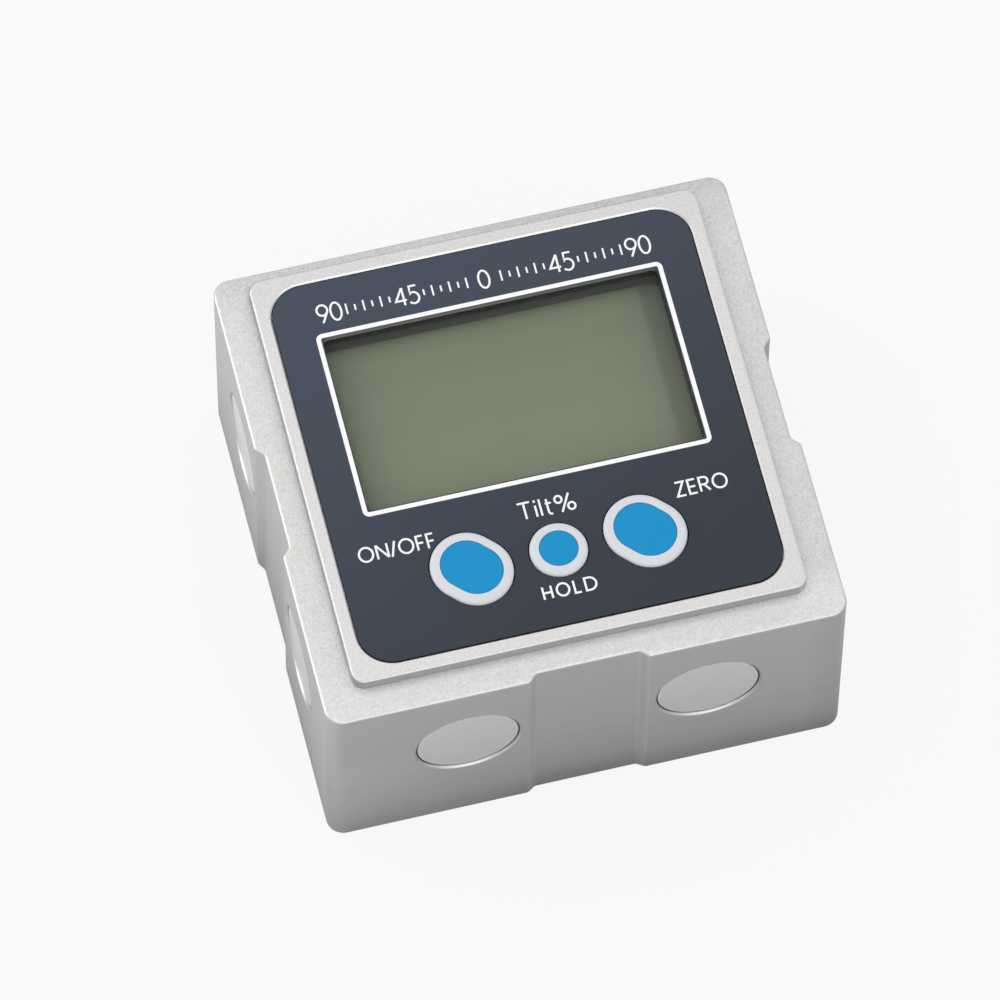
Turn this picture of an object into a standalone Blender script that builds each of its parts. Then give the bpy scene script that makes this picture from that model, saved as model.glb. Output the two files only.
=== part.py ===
"""A pocket digital angle gauge: a square metal housing with magnets let into three sides.

It lies on its back with the display up. X runs along the key row, from the left side to the right.
Y runs from the front side, below the keys, to the rear side. Z is up, from the resting face.
"""

import math

import bmesh
import bpy
from mathutils import Matrix, Vector

MM = 0.001

# Housing
BODY_WIDTH = 60.0 * MM
BODY_DEPTH = 57.4 * MM
RIM_HEIGHT = 29.0 * MM
CORNER_RADIUS = 2.0 * MM
EDGE_BREAK = 0.35 * MM
SIDE_WALL = 3.2 * MM
ROOF_THICKNESS = 1.6 * MM
CAVITY_RADIUS = 1.5 * MM

# Shallow relief in the middle of the three measuring sides
RELIEF_DEPTH = 0.95 * MM
RELIEF_FLOOR = 11.4 * MM
RELIEF_BLEND = 1.35 * MM

# Raised platform round the printed panel
PLATFORM_RISE = 1.6 * MM
PLATFORM_SIDE_MARGIN = 3.85 * MM
PLATFORM_FRONT_MARGIN = 3.6 * MM
PLATFORM_REAR_MARGIN = 1.75 * MM
PLATFORM_RADIUS = 1.5 * MM
PLATFORM_EDGE = 0.3 * MM

# Printed panel in its pocket
PANEL_BORDER = 1.75 * MM
PANEL_RADIUS = 4.0 * MM
PANEL_THICKNESS = 0.6 * MM
PANEL_SINK = 0.1 * MM
PANEL_GAP = 0.2 * MM
PANEL_EDGE = 0.08 * MM

# Clearances
SEAT_GAP = 0.3 * MM
SIDE_GAP = 0.3 * MM
KEY_GAP = 0.15 * MM
INLAY_GAP = 0.03 * MM

# How far joined shapes run into each other, and how far cutters run past a face
OVERLAP = 0.4 * MM
OVERCUT = 1.0 * MM

# Display opening and the parts behind it
VIEW_SIDE_MARGIN = 4.9 * MM
VIEW_REAR_MARGIN = 7.25 * MM
VIEW_SETBACK = 24.25 * MM
VIEW_RADIUS = 0.8 * MM
WINDOW_THICKNESS = 1.0 * MM
WINDOW_LEDGE_WIDTH = 1.2 * MM
COLLAR_SETBACK = 0.2 * MM
COLLAR_WALL = 0.8 * MM
FRAME_PLATE = 0.6 * MM
FRAME_WALL = 0.9 * MM
FRAME_RADIUS = 1.0 * MM
GLASS_SIDE_BORDER = 2.5 * MM
GLASS_FRONT_LEDGE = 2.65 * MM
GLASS_REAR_BORDER = 1.75 * MM
GLASS_THICKNESS = 1.1 * MM
GLASS_STEP = 2.7 * MM
STRIP_WIDTH = 1.8 * MM
STRIP_MARGIN = 0.3 * MM
STRIP_END_MARGIN = 1.0 * MM
PAD_WIDTH = 3.0 * MM
PAD_MARGIN = 0.4 * MM
PAD_END_MARGIN = 4.0 * MM

# Keys
KEY_PITCH = 10.0 * MM
KEY_ROW_SETBACK = 14.5 * MM
ROUND_KEY_RADIUS = 3.3 * MM
ROUND_FACE_RADIUS = 2.2 * MM
LONG_KEY_RADIUS = 4.14 * MM
LONG_FACE_RADIUS = 2.97 * MM
LONG_KEY_HALF_SPAN = 0.68 * MM
LONG_KEY_ANGLE = math.radians(-45)
KEY_PROUD = 0.5 * MM
KEY_SHOULDER_DROP = 0.45 * MM
KEY_SHOULDER_SHARE = 0.85
KEY_TRAVEL = 0.4 * MM
FLANGE_REACH = 0.7 * MM
FLANGE_THICKNESS = 0.8 * MM
STEM_RADIUS = 1.8 * MM
INLAY_THICKNESS = 0.8 * MM
INLAY_DOME = 0.08 * MM
KEYS = [
    {"name": "on_off", "x": -KEY_PITCH, "long": True},
    {"name": "hold", "x": 0.0, "long": False},
    {"name": "zero", "x": KEY_PITCH, "long": True},
]

# Push switches on the circuit board
SWITCH_SIDE = 6.0 * MM
SWITCH_HEIGHT = 3.5 * MM
SWITCH_BASE = 0.7 * MM
PLUNGER_RADIUS = 1.75 * MM
PLUNGER_REACH = 0.8 * MM
PLUNGER_GAP = 0.15 * MM
SWITCH_LEG_WIDTH = 0.7 * MM
SWITCH_LEG_REACH = 0.6 * MM
SWITCH_LEG_THICKNESS = 0.35 * MM
SWITCH_LEG_SPREAD = 2.0 * MM

# Circuit board and what is on it
BOARD_DROP = 6.8 * MM
BOARD_THICKNESS = 1.2 * MM
BOARD_SIDE_GAP = 1.6 * MM
BOARD_FRONT_GAP = 1.5 * MM
BOARD_REAR_GAP = 0.9 * MM
BOARD_RADIUS = 1.0 * MM
POST_RADIUS = 2.0 * MM
POST_INSET_X = 6.3 * MM
FRONT_POST_INSET = 4.5 * MM
REAR_POST_INSET = 2.2 * MM
BOARD_SCREW_RADIUS = 0.75 * MM
BOARD_SCREW_HEAD_RADIUS = 1.9 * MM
BOARD_SCREW_HEAD = 1.1 * MM
BOARD_SCREW_CROWN_RADIUS = 1.5 * MM
BOARD_SCREW_BITE = 4.0 * MM
CHIP_SIDE = 9.0 * MM
CHIP_HEIGHT = 1.4 * MM
CHIP_LEADS = 6
CHIP_LEAD_WIDTH = 0.4 * MM
CHIP_LEAD_REACH = 1.0 * MM
CHIP_LEAD_THICKNESS = 0.2 * MM
CHIP_OFFSET = 9.0 * MM
CHIP_SETBACK = 8.0 * MM
SENSOR_WIDTH = 5.0 * MM
SENSOR_DEPTH = 3.0 * MM
SENSOR_HEIGHT = 0.9 * MM
CRYSTAL_RADIUS = 1.9 * MM
CRYSTAL_HALF_SPAN = 3.2 * MM
CRYSTAL_HEIGHT = 2.6 * MM
CRYSTAL_OFFSET = 6.5 * MM

# Magnets
MAGNET_RADIUS = 5.82 * MM
MAGNET_THICKNESS = 2.5 * MM
MAGNET_SINK = 0.3 * MM
MAGNET_SIDE_GAP = 0.18 * MM
MAGNET_EDGE = 0.15 * MM
MAGNET_SPREAD = 13.9 * MM
MAGNET_DROP = 11.9 * MM
POCKET_CHAMFER = 0.2 * MM
POCKET_SKIN = 0.9 * MM
BOSS_WALL = 1.5 * MM

# Back cover
COVER_SINK = 0.4 * MM
COVER_THICKNESS = 1.8 * MM
COVER_MARGIN = 2.0 * MM
COVER_GAP = 0.3 * MM
COVER_RADIUS = 1.2 * MM
COLUMN_SIZE = 5.4 * MM
COLUMN_HEADROOM = 4.4 * MM
COLUMN_RADIUS = 1.5 * MM
COVER_SCREW_RADIUS = 0.9 * MM
COVER_SCREW_HEAD_RADIUS = 2.2 * MM
COVER_SCREW_HEAD = 1.35 * MM
COVER_SCREW_LIP = 0.25 * MM
COVER_SCREW_SINK = 0.1 * MM
COVER_SCREW_HEADROOM = 5.0 * MM
SCREW_GAP = 0.2 * MM
CROSS_ARM = 1.1 * MM
CROSS_HALF_WIDTH = 0.28 * MM
CROSS_DEPTH = 0.7 * MM

# Battery bay, a box moulded on the back cover
CELL_NUB_LENGTH = 1.0 * MM
CELL_NUB_RADIUS = 1.9 * MM
CELL_EDGE = 0.5 * MM
BAY_WALL = 1.2 * MM
BAY_SPACE = 3.5 * MM
BAY_END_MARGIN = 5.5 * MM
BAY_HEADROOM = 4.9 * MM
CONTACT_THICKNESS = 0.4 * MM
CONTACT_SIDE_MARGIN = 1.05 * MM
CONTACT_END_MARGIN = 0.75 * MM
CONTACT_TAB_WIDTH = 2.0 * MM
CONTACT_TAB_END = 0.5 * MM
SPRING_TURNS = 2.5
SPRING_MARGIN = 1.65 * MM
SPRING_TAPER = 0.55
SPRING_WIRE_RADIUS = 0.35 * MM

# Battery door
DOOR_THICKNESS = 1.5 * MM
DOOR_GAP = 0.25 * MM
DOOR_LEDGE = 0.8 * MM
DOOR_RADIUS = 1.0 * MM
HOOK_WIDTH = 5.0 * MM
HOOK_SPREAD = 14.0 * MM
HOOK_NECK = 1.0 * MM
HOOK_NECK_SETBACK = 0.2 * MM
HOOK_BAR = 0.8 * MM
HOOK_THICKNESS = 0.9 * MM
HOOK_OVERREACH = 0.3 * MM
HOOK_HEADROOM = 1.0 * MM
GRIP_GROOVES = 5
GRIP_PITCH = 1.6 * MM
GRIP_WIDTH = 0.7 * MM
GRIP_LENGTH = 12.0 * MM
GRIP_DEPTH = 0.35 * MM
GRIP_SETBACK = 2.0 * MM
NOTCH_RADIUS = 3.5 * MM
NOTCH_DEPTH = 0.9 * MM
NOTCH_FLOOR_RADIUS = 2.8 * MM

# Levels worked out from the sizes above
HALF_WIDTH = BODY_WIDTH / 2
HALF_DEPTH = BODY_DEPTH / 2
PLATFORM_TOP = RIM_HEIGHT + PLATFORM_RISE
ROOF = RIM_HEIGHT - ROOF_THICKNESS
PANEL_TOP = PLATFORM_TOP - PANEL_SINK
PANEL_BOTTOM = PANEL_TOP - PANEL_THICKNESS
POCKET_FLOOR = PANEL_BOTTOM - SEAT_GAP
WINDOW_TOP = POCKET_FLOOR
WINDOW_BOTTOM = WINDOW_TOP - WINDOW_THICKNESS
WINDOW_LEDGE = WINDOW_BOTTOM - SEAT_GAP
FRAME_TOP = ROOF - SEAT_GAP
FRAME_PLATE_BOTTOM = FRAME_TOP - FRAME_PLATE
GLASS_TOP = FRAME_PLATE_BOTTOM - SEAT_GAP
GLASS_BOTTOM = GLASS_TOP - 2 * GLASS_THICKNESS
BOARD_TOP = ROOF - BOARD_DROP
BOARD_BOTTOM = BOARD_TOP - BOARD_THICKNESS
ON_BOARD = BOARD_TOP + SEAT_GAP
UNDER_BOARD = BOARD_BOTTOM - SEAT_GAP
COVER_OUTER = COVER_SINK
COVER_INNER = COVER_OUTER + COVER_THICKNESS
COVER_SEAT = COVER_INNER + SEAT_GAP
COLUMN_TOP = BOARD_BOTTOM - COLUMN_HEADROOM
COVER_SCREW_FACE = COVER_OUTER + COVER_SCREW_SINK
COVER_SCREW_END = COLUMN_TOP - COVER_SCREW_HEADROOM
MAGNET_HEIGHT = RIM_HEIGHT - MAGNET_DROP
BAY_TOP = BOARD_BOTTOM - BAY_HEADROOM - BAY_WALL
CELL_RADIUS = (BAY_TOP - COVER_INNER) / 2 - SEAT_GAP
CELL_CENTER_Y = CELL_RADIUS + SIDE_GAP
CELL_CENTER_Z = COVER_INNER + SEAT_GAP + CELL_RADIUS
BAY_HALF_LENGTH = HALF_WIDTH - BAY_END_MARGIN
BAY_HALF_DEPTH = CELL_CENTER_Y + CELL_RADIUS + SIDE_GAP
CELL_LENGTH = 2 * BAY_HALF_LENGTH - CONTACT_THICKNESS - 2 * SEAT_GAP - BAY_SPACE
KEY_ROW_Y = KEY_ROW_SETBACK - HALF_DEPTH
CAVITY_HALF_WIDTH = HALF_WIDTH - SIDE_WALL
CAVITY_HALF_DEPTH = HALF_DEPTH - SIDE_WALL

ARC_STEPS = 5
CIRCLE_STEPS = 32
SMALL_CIRCLE_STEPS = 16
SHOULDER_STEPS = 3
DOME_STEPS = 3
COIL_STEPS = 10


# Outlines, as lists of (x, y) that run counterclockwise

def arc(center, radius, start, end, steps=ARC_STEPS):
    """Points on an arc from one angle to another, in degrees, with both ends."""
    points = []
    for i in range(steps + 1):
        angle = math.radians(start + (end - start) * i / steps)
        points.append((center[0] + radius * math.cos(angle), center[1] + radius * math.sin(angle)))
    return points


def circle(radius, steps=CIRCLE_STEPS):
    """A circle round the origin."""
    return arc((0, 0), radius, 0, 360, steps)[:-1]


def rounded_rectangle(west, east, south, north, radius):
    """A rectangle with round corners."""
    points = arc((west + radius, south + radius), radius, 180, 270)
    points += arc((east - radius, south + radius), radius, 270, 360)
    points += arc((east - radius, north - radius), radius, 0, 90)
    points += arc((west + radius, north - radius), radius, 90, 180)
    return points


def rectangle(west, east, south, north):
    """A rectangle with sharp corners."""
    return [(west, south), (east, south), (east, north), (west, north)]


def stadium(radius, half_span, angle=0.0, steps=CIRCLE_STEPS // 2):
    """Two half circles joined by straight sides, with the long axis turned by an angle."""
    points = arc((half_span, 0), radius, -90, 90, steps)
    points += arc((-half_span, 0), radius, 90, 270, steps)
    c = math.cos(angle)
    s = math.sin(angle)
    return [(x * c - y * s, x * s + y * c) for x, y in points]


def relief_line():
    """Half of a relief, from the pad down to its floor: (distance from the middle, depth)."""
    points = []
    for i in range(ARC_STEPS + 1):
        t = i / ARC_STEPS
        depth = RELIEF_DEPTH * t * t * (3 - 2 * t)
        points.append((RELIEF_FLOOR / 2 + RELIEF_BLEND * (1 - t), depth))
    return points


def body_outline():
    """The housing from above: round corners, and a relief in the front, right and left sides."""
    fall = relief_line()
    rise = fall[::-1]
    west = CORNER_RADIUS - HALF_WIDTH
    south = CORNER_RADIUS - HALF_DEPTH
    points = arc((west, south), CORNER_RADIUS, 180, 270)
    points += [(-along, depth - HALF_DEPTH) for along, depth in fall]
    points += [(along, depth - HALF_DEPTH) for along, depth in rise]
    points += arc((-west, south), CORNER_RADIUS, 270, 360)
    points += [(HALF_WIDTH - depth, -along) for along, depth in fall]
    points += [(HALF_WIDTH - depth, along) for along, depth in rise]
    points += arc((-west, -south), CORNER_RADIUS, 0, 90)
    points += arc((west, -south), CORNER_RADIUS, 90, 180)
    points += [(depth - HALF_WIDTH, along) for along, depth in fall]
    points += [(depth - HALF_WIDTH, -along) for along, depth in rise]
    return points


# Solids

def clear_scene():
    """Removes what the scene starts with."""
    for item in list(bpy.data.objects):
        bpy.data.objects.remove(item, do_unlink=True)


def surface(name, color, roughness, metallic=0.0, alpha=1.0):
    """A plain material in one colour."""
    material = bpy.data.materials.new(name)
    material.use_nodes = True
    shader = material.node_tree.nodes["Principled BSDF"]
    shader.inputs["Base Color"].default_value = (*color, 1.0)
    shader.inputs["Roughness"].default_value = roughness
    shader.inputs["Metallic"].default_value = metallic
    shader.inputs["Alpha"].default_value = alpha
    return material


def placed(name, data, material=None, location=(0, 0, 0), turn=(0, 0, 0)):
    """An object in the scene."""
    piece = bpy.data.objects.new(name, data)
    piece.location = location
    piece.rotation_euler = turn
    bpy.context.scene.collection.objects.link(piece)
    if material:
        data.materials.clear()
        data.materials.append(material)
    return piece


def skinned_mesh(name, rings, looped=False):
    """A closed mesh over rings of points. The end rings are filled, or joined if looped."""
    shape = bmesh.new()
    rows = [[shape.verts.new(point) for point in ring] for ring in rings]
    following = rows[1:] + rows[:1] if looped else rows[1:]
    for lower, upper in zip(rows, following):
        for i in range(len(lower)):
            j = (i + 1) % len(lower)
            shape.faces.new((lower[i], lower[j], upper[j], upper[i]))
    if not looped:
        shape.faces.new(rows[0][::-1])
        shape.faces.new(rows[-1])
    bmesh.ops.recalc_face_normals(shape, faces=shape.faces)
    mesh = bpy.data.meshes.new(name)
    shape.to_mesh(mesh)
    shape.free()
    mesh.shade_smooth()
    mesh.set_sharp_from_angle(angle=math.radians(30))
    return mesh


def prism_mesh(name, outline, low, high):
    """An outline raised from one level to another."""
    return skinned_mesh(name, [[(x, y, z) for x, y in outline] for z in (low, high)])


def turned_mesh(name, profile, steps=CIRCLE_STEPS):
    """A profile of (radius, height) turned round Z, with flat ends."""
    return skinned_mesh(name, [[(x, y, z) for x, y in circle(r, steps)] for r, z in profile])


def prism(name, outline, low, high, material=None, location=(0, 0, 0), turn=(0, 0, 0)):
    """A prism as an object."""
    return placed(name, prism_mesh(name, outline, low, high), material, location, turn)


def block(name, west, east, south, north, low, high, material=None):
    """A box given by its six limits."""
    return prism(name, rectangle(west, east, south, north), low, high, material)


def boolean(piece, other, operation):
    """Joins another shape to a piece or cuts it out. The other shape isn't part of the model."""
    other.hide_render = True
    other.display_type = "WIRE"
    step = piece.modifiers.new(f"{operation.lower()} {other.name}", "BOOLEAN")
    step.operation = operation
    step.solver = "EXACT"
    step.object = other


def cut(piece, *cutters):
    """Cuts each cutter out of a piece."""
    for cutter in cutters:
        boolean(piece, cutter, "DIFFERENCE")


def join(piece, *others):
    """Makes other shapes one body with a piece."""
    for other in others:
        boolean(piece, other, "UNION")


def bevel(piece, width, segments=2):
    """Rounds the sharp edges that a piece has so far."""
    step = piece.modifiers.new("edge", "BEVEL")
    step.width = width
    step.segments = segments
    step.limit_method = "ANGLE"
    step.angle_limit = math.radians(50)
    step.use_clamp_overlap = False


def finished_mesh(piece):
    """The mesh that a piece's modifiers give. The piece and its cutters are removed."""
    bpy.context.view_layer.update()
    graph = bpy.context.evaluated_depsgraph_get()
    mesh = bpy.data.meshes.new_from_object(piece.evaluated_get(graph))
    helpers = [step.object for step in piece.modifiers if step.type == "BOOLEAN"]
    for item in [piece, *helpers]:
        bpy.data.objects.remove(item, do_unlink=True)
    return mesh


# Materials

def make_materials():
    """Every material of the gauge by its slot name."""
    return {
        "housing_metal": surface("housing_metal", (0.62, 0.61, 0.59), 0.45, 1.0),
        "magnet_plating": surface("magnet_plating", (0.55, 0.55, 0.54), 0.35, 1.0),
        "panel_print": surface("panel_print", (0.055, 0.065, 0.09), 0.25),
        "clear_window": surface("clear_window", (0.9, 0.95, 0.92), 0.05, 0.0, 0.25),
        "display_glass": surface("display_glass", (0.2, 0.22, 0.16), 0.3),
        "key_white": surface("key_white", (0.8, 0.8, 0.8), 0.4),
        "key_blue": surface("key_blue", (0.02, 0.3, 0.6), 0.45),
        "black_plastic": surface("black_plastic", (0.02, 0.02, 0.022), 0.5),
        "board_laminate": surface("board_laminate", (0.02, 0.2, 0.08), 0.4),
        "chip_plastic": surface("chip_plastic", (0.015, 0.015, 0.017), 0.5),
        "switch_metal": surface("switch_metal", (0.6, 0.6, 0.6), 0.4, 1.0),
        "steel": surface("steel", (0.5, 0.5, 0.5), 0.35, 1.0),
        "nickel_strip": surface("nickel_strip", (0.6, 0.58, 0.54), 0.35, 1.0),
        "rubber_strip": surface("rubber_strip", (0.3, 0.3, 0.3), 0.8),
        "foam": surface("foam", (0.05, 0.05, 0.05), 0.95),
        "cell_jacket": surface("cell_jacket", (0.1, 0.12, 0.14), 0.3, 0.6),
    }


# Housing

def magnet_places():
    """Each magnet's name, the middle of its seat on the pad's face, and the turn that faces Z there."""
    facing_front = (math.radians(90), 0, 0)
    facing_right = (0, math.radians(90), 0)
    facing_left = (0, math.radians(-90), 0)
    return [
        ("front_left_magnet", (-MAGNET_SPREAD, -HALF_DEPTH, MAGNET_HEIGHT), facing_front),
        ("front_right_magnet", (MAGNET_SPREAD, -HALF_DEPTH, MAGNET_HEIGHT), facing_front),
        ("left_front_magnet", (-HALF_WIDTH, -MAGNET_SPREAD, MAGNET_HEIGHT), facing_left),
        ("left_rear_magnet", (-HALF_WIDTH, MAGNET_SPREAD, MAGNET_HEIGHT), facing_left),
        ("right_front_magnet", (HALF_WIDTH, -MAGNET_SPREAD, MAGNET_HEIGHT), facing_right),
        ("right_rear_magnet", (HALF_WIDTH, MAGNET_SPREAD, MAGNET_HEIGHT), facing_right),
    ]


def column_places():
    """The axes of the four columns that take the back cover's screws."""
    x = CAVITY_HALF_WIDTH - COLUMN_SIZE / 2
    y = CAVITY_HALF_DEPTH - COLUMN_SIZE / 2
    return [(-x, -y), (x, -y), (x, y), (-x, y)]


def post_places():
    """The axes of the four posts that take the circuit board's screws."""
    x = CAVITY_HALF_WIDTH - POST_INSET_X
    front = FRONT_POST_INSET - CAVITY_HALF_DEPTH
    rear = CAVITY_HALF_DEPTH - REAR_POST_INSET
    return [(-x, front), (x, front), (x, rear), (-x, rear)]


def platform_limits(inset=0.0):
    """West, east, south and north of the platform, or of a rectangle inside it."""
    return (
        PLATFORM_SIDE_MARGIN + inset - HALF_WIDTH,
        HALF_WIDTH - PLATFORM_SIDE_MARGIN - inset,
        PLATFORM_FRONT_MARGIN + inset - HALF_DEPTH,
        HALF_DEPTH - PLATFORM_REAR_MARGIN - inset,
    )


def view_limits(grow=0.0):
    """West, east, south and north of the display's opening, or of a rectangle round it."""
    west, east, _, north = platform_limits(PANEL_BORDER)
    return (
        west + VIEW_SIDE_MARGIN - grow,
        east - VIEW_SIDE_MARGIN + grow,
        VIEW_SETBACK - HALF_DEPTH - grow,
        north - VIEW_REAR_MARGIN + grow,
    )


def window_hole_grow():
    """How far the hole in the roof stands back from the view, to let the display's collar in."""
    return COLLAR_SETBACK + COLLAR_WALL + SIDE_GAP


def key_outline(key, grow=0.0):
    """The outline of a key's white body, or one that is larger all round."""
    if key["long"]:
        return stadium(LONG_KEY_RADIUS + grow, LONG_KEY_HALF_SPAN, LONG_KEY_ANGLE)
    return circle(ROUND_KEY_RADIUS + grow)


def face_outline(key, grow=0.0):
    """The outline of a key's coloured face, or one that is larger all round."""
    if key["long"]:
        return stadium(LONG_FACE_RADIUS + grow, LONG_KEY_HALF_SPAN, LONG_KEY_ANGLE)
    return circle(ROUND_FACE_RADIUS + grow)


def magnet_pocket(name, place, turn):
    """The cutter of a blind round pocket with a chamfered mouth."""
    radius = MAGNET_RADIUS + MAGNET_SIDE_GAP
    floor = -(MAGNET_SINK + MAGNET_THICKNESS + SEAT_GAP)
    profile = [
        (radius, floor),
        (radius, -POCKET_CHAMFER),
        (radius + POCKET_CHAMFER, 0),
        (radius + POCKET_CHAMFER, OVERCUT),
    ]
    return placed(f"{name}_pocket", turned_mesh(name, profile), None, place, turn)


def magnet_boss(name, place, turn):
    """The thickening behind a magnet's pocket, inside the wall."""
    inner = -(MAGNET_SINK + MAGNET_THICKNESS + SEAT_GAP + POCKET_SKIN)
    radius = MAGNET_RADIUS + MAGNET_SIDE_GAP + BOSS_WALL
    outline = circle(radius, SMALL_CIRCLE_STEPS)
    return prism(f"{name}_boss", outline, inner, OVERLAP - SIDE_WALL, None, place, turn)


def screw_column(index, x, y):
    """A square column in a corner of the cavity, run into both walls."""
    half = COLUMN_SIZE / 2
    side_x = math.copysign(OVERLAP, x)
    side_y = math.copysign(OVERLAP, y)
    outline = rounded_rectangle(
        x - half + min(side_x, 0), x + half + max(side_x, 0),
        y - half + min(side_y, 0), y + half + max(side_y, 0), COLUMN_RADIUS,
    )
    return prism(f"column_{index}", outline, COVER_SEAT, COLUMN_TOP)


def make_housing(materials):
    """The cast and machined housing, open underneath."""
    body = prism("housing", body_outline(), 0, RIM_HEIGHT, materials["housing_metal"])
    bevel(body, EDGE_BREAK)
    platform = prism(
        "platform", rounded_rectangle(*platform_limits(), PLATFORM_RADIUS),
        RIM_HEIGHT - OVERLAP, PLATFORM_TOP,
    )
    bevel(platform, PLATFORM_EDGE)
    join(body, platform)
    w, d = CAVITY_HALF_WIDTH, CAVITY_HALF_DEPTH
    cavity = prism("cavity", rounded_rectangle(-w, w, -d, d, CAVITY_RADIUS), -OVERCUT, ROOF)
    cut(body, cavity)
    for name, place, turn in magnet_places():
        join(body, magnet_boss(name, place, turn))
    for index, (x, y) in enumerate(column_places()):
        join(body, screw_column(index, x, y))
    for index, (x, y) in enumerate(post_places()):
        post = prism(
            f"post_{index}", circle(POST_RADIUS, SMALL_CIRCLE_STEPS),
            ON_BOARD, ROOF + OVERLAP, None, (x, y, 0),
        )
        join(body, post)
    cut_top(body)
    cut_underside(body)
    for name, place, turn in magnet_places():
        cut(body, magnet_pocket(name, place, turn))
    return body


def cut_top(body):
    """The panel's pocket, the window's rebate, the display's hole and the key holes."""
    above = PLATFORM_TOP + OVERCUT
    below = ROOF - OVERCUT
    pocket = rounded_rectangle(*platform_limits(PANEL_BORDER - PANEL_GAP), PANEL_RADIUS + PANEL_GAP)
    cut(body, prism("panel_pocket", pocket, POCKET_FLOOR, above))
    hole_grow = window_hole_grow()
    rebate_grow = hole_grow + WINDOW_LEDGE_WIDTH + SIDE_GAP
    rebate = rounded_rectangle(*view_limits(rebate_grow), VIEW_RADIUS + WINDOW_LEDGE_WIDTH)
    cut(body, prism("window_rebate", rebate, WINDOW_LEDGE, above))
    hole = rounded_rectangle(*view_limits(hole_grow), VIEW_RADIUS + hole_grow)
    cut(body, prism("display_hole", hole, below, above))
    for key in KEYS:
        outline = key_outline(key, KEY_GAP + SIDE_GAP / 2)
        place = (key["x"], KEY_ROW_Y, 0)
        cut(body, prism(f"{key['name']}_hole", outline, below, above, None, place))


def cut_underside(body):
    """The back cover's seat, and the screw holes in the columns and posts."""
    grow = COVER_MARGIN
    seat = rounded_rectangle(
        grow - HALF_WIDTH, HALF_WIDTH - grow, grow - HALF_DEPTH, HALF_DEPTH - grow,
        COVER_RADIUS + COVER_GAP,
    )
    cut(body, prism("cover_seat", seat, -OVERCUT, COVER_SEAT))
    top = COVER_SCREW_END + SEAT_GAP
    for index, (x, y) in enumerate(column_places()):
        outline = circle(COVER_SCREW_RADIUS + SCREW_GAP, SMALL_CIRCLE_STEPS)
        cut(body, prism(f"column_hole_{index}", outline, -OVERCUT, top, None, (x, y, 0)))
    top = ON_BOARD + BOARD_SCREW_BITE + SEAT_GAP
    for index, (x, y) in enumerate(post_places()):
        outline = circle(BOARD_SCREW_RADIUS + SCREW_GAP, SMALL_CIRCLE_STEPS)
        cut(body, prism(f"post_hole_{index}", outline, ON_BOARD - OVERCUT, top, None, (x, y, 0)))


def make_magnets(materials):
    """Six plated discs, each a little below its pad's face."""
    top = -MAGNET_SINK
    bottom = top - MAGNET_THICKNESS
    profile = [
        (MAGNET_RADIUS, bottom),
        (MAGNET_RADIUS, top - MAGNET_EDGE),
        (MAGNET_RADIUS - MAGNET_EDGE, top),
    ]
    disc = turned_mesh("magnet", profile)
    for name, place, turn in magnet_places():
        placed(name, disc, materials["magnet_plating"], place, turn)


# Panel and window

def make_front_panel(materials):
    """The printed plate, with an opening over the display and a hole round each key."""
    outline = rounded_rectangle(*platform_limits(PANEL_BORDER), PANEL_RADIUS)
    panel = prism("front_panel", outline, PANEL_BOTTOM, PANEL_TOP, materials["panel_print"])
    bevel(panel, PANEL_EDGE, 1)
    low = PANEL_BOTTOM - OVERCUT
    high = PANEL_TOP + OVERCUT
    opening = rounded_rectangle(*view_limits(), VIEW_RADIUS)
    cut(panel, prism("view_opening", opening, low, high))
    for key in KEYS:
        place = (key["x"], KEY_ROW_Y, 0)
        outline = key_outline(key, KEY_GAP)
        cut(panel, prism(f"{key['name']}_panel_hole", outline, low, high, None, place))


def make_display_window(materials):
    """The clear plate that rests on the rebate's ledge."""
    grow = window_hole_grow() + WINDOW_LEDGE_WIDTH
    outline = rounded_rectangle(*view_limits(grow), VIEW_RADIUS + WINDOW_LEDGE_WIDTH - SIDE_GAP)
    prism("display_window", outline, WINDOW_BOTTOM, WINDOW_TOP, materials["clear_window"])


# Display

def glass_limits(grow=0.0):
    """West, east, south and north of the display's front glass, or of a rectangle round it."""
    west, east, south, north = view_limits()
    return (
        west - GLASS_SIDE_BORDER - grow,
        east + GLASS_SIDE_BORDER + grow,
        south - GLASS_FRONT_LEDGE - grow,
        north + GLASS_REAR_BORDER + grow,
    )


def make_display_frame(materials):
    """A black moulded frame: a skirt that stands on the board, and a collar that lines the hole."""
    outer = rounded_rectangle(*glass_limits(SIDE_GAP + FRAME_WALL), FRAME_RADIUS)
    frame = prism("display_frame", outer, ON_BOARD, FRAME_TOP, materials["black_plastic"])
    bay = block("display_bay", *glass_limits(SIDE_GAP), ON_BOARD - OVERCUT, FRAME_PLATE_BOTTOM)
    grow = COLLAR_SETBACK + COLLAR_WALL
    collar_outline = rounded_rectangle(*view_limits(grow), VIEW_RADIUS + grow)
    collar = prism("collar", collar_outline, FRAME_TOP - OVERLAP, WINDOW_LEDGE)
    opening = rounded_rectangle(*view_limits(COLLAR_SETBACK), VIEW_RADIUS + COLLAR_SETBACK)
    join(frame, collar)
    low = FRAME_PLATE_BOTTOM - OVERCUT
    cut(frame, bay, prism("frame_opening", opening, low, WINDOW_LEDGE + OVERCUT))


def make_display_glass(materials):
    """Two bonded glasses. The front one runs on at the front edge, where its contacts are."""
    west, east, south, north = glass_limits()
    middle = GLASS_TOP - GLASS_THICKNESS
    glass = block(
        "display_glass", west, east, south, north, middle, GLASS_TOP, materials["display_glass"]
    )
    rear = block(
        "rear_glass", west, east, south + GLASS_STEP, north,
        GLASS_BOTTOM, middle + OVERLAP,
    )
    join(glass, rear)


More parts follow.
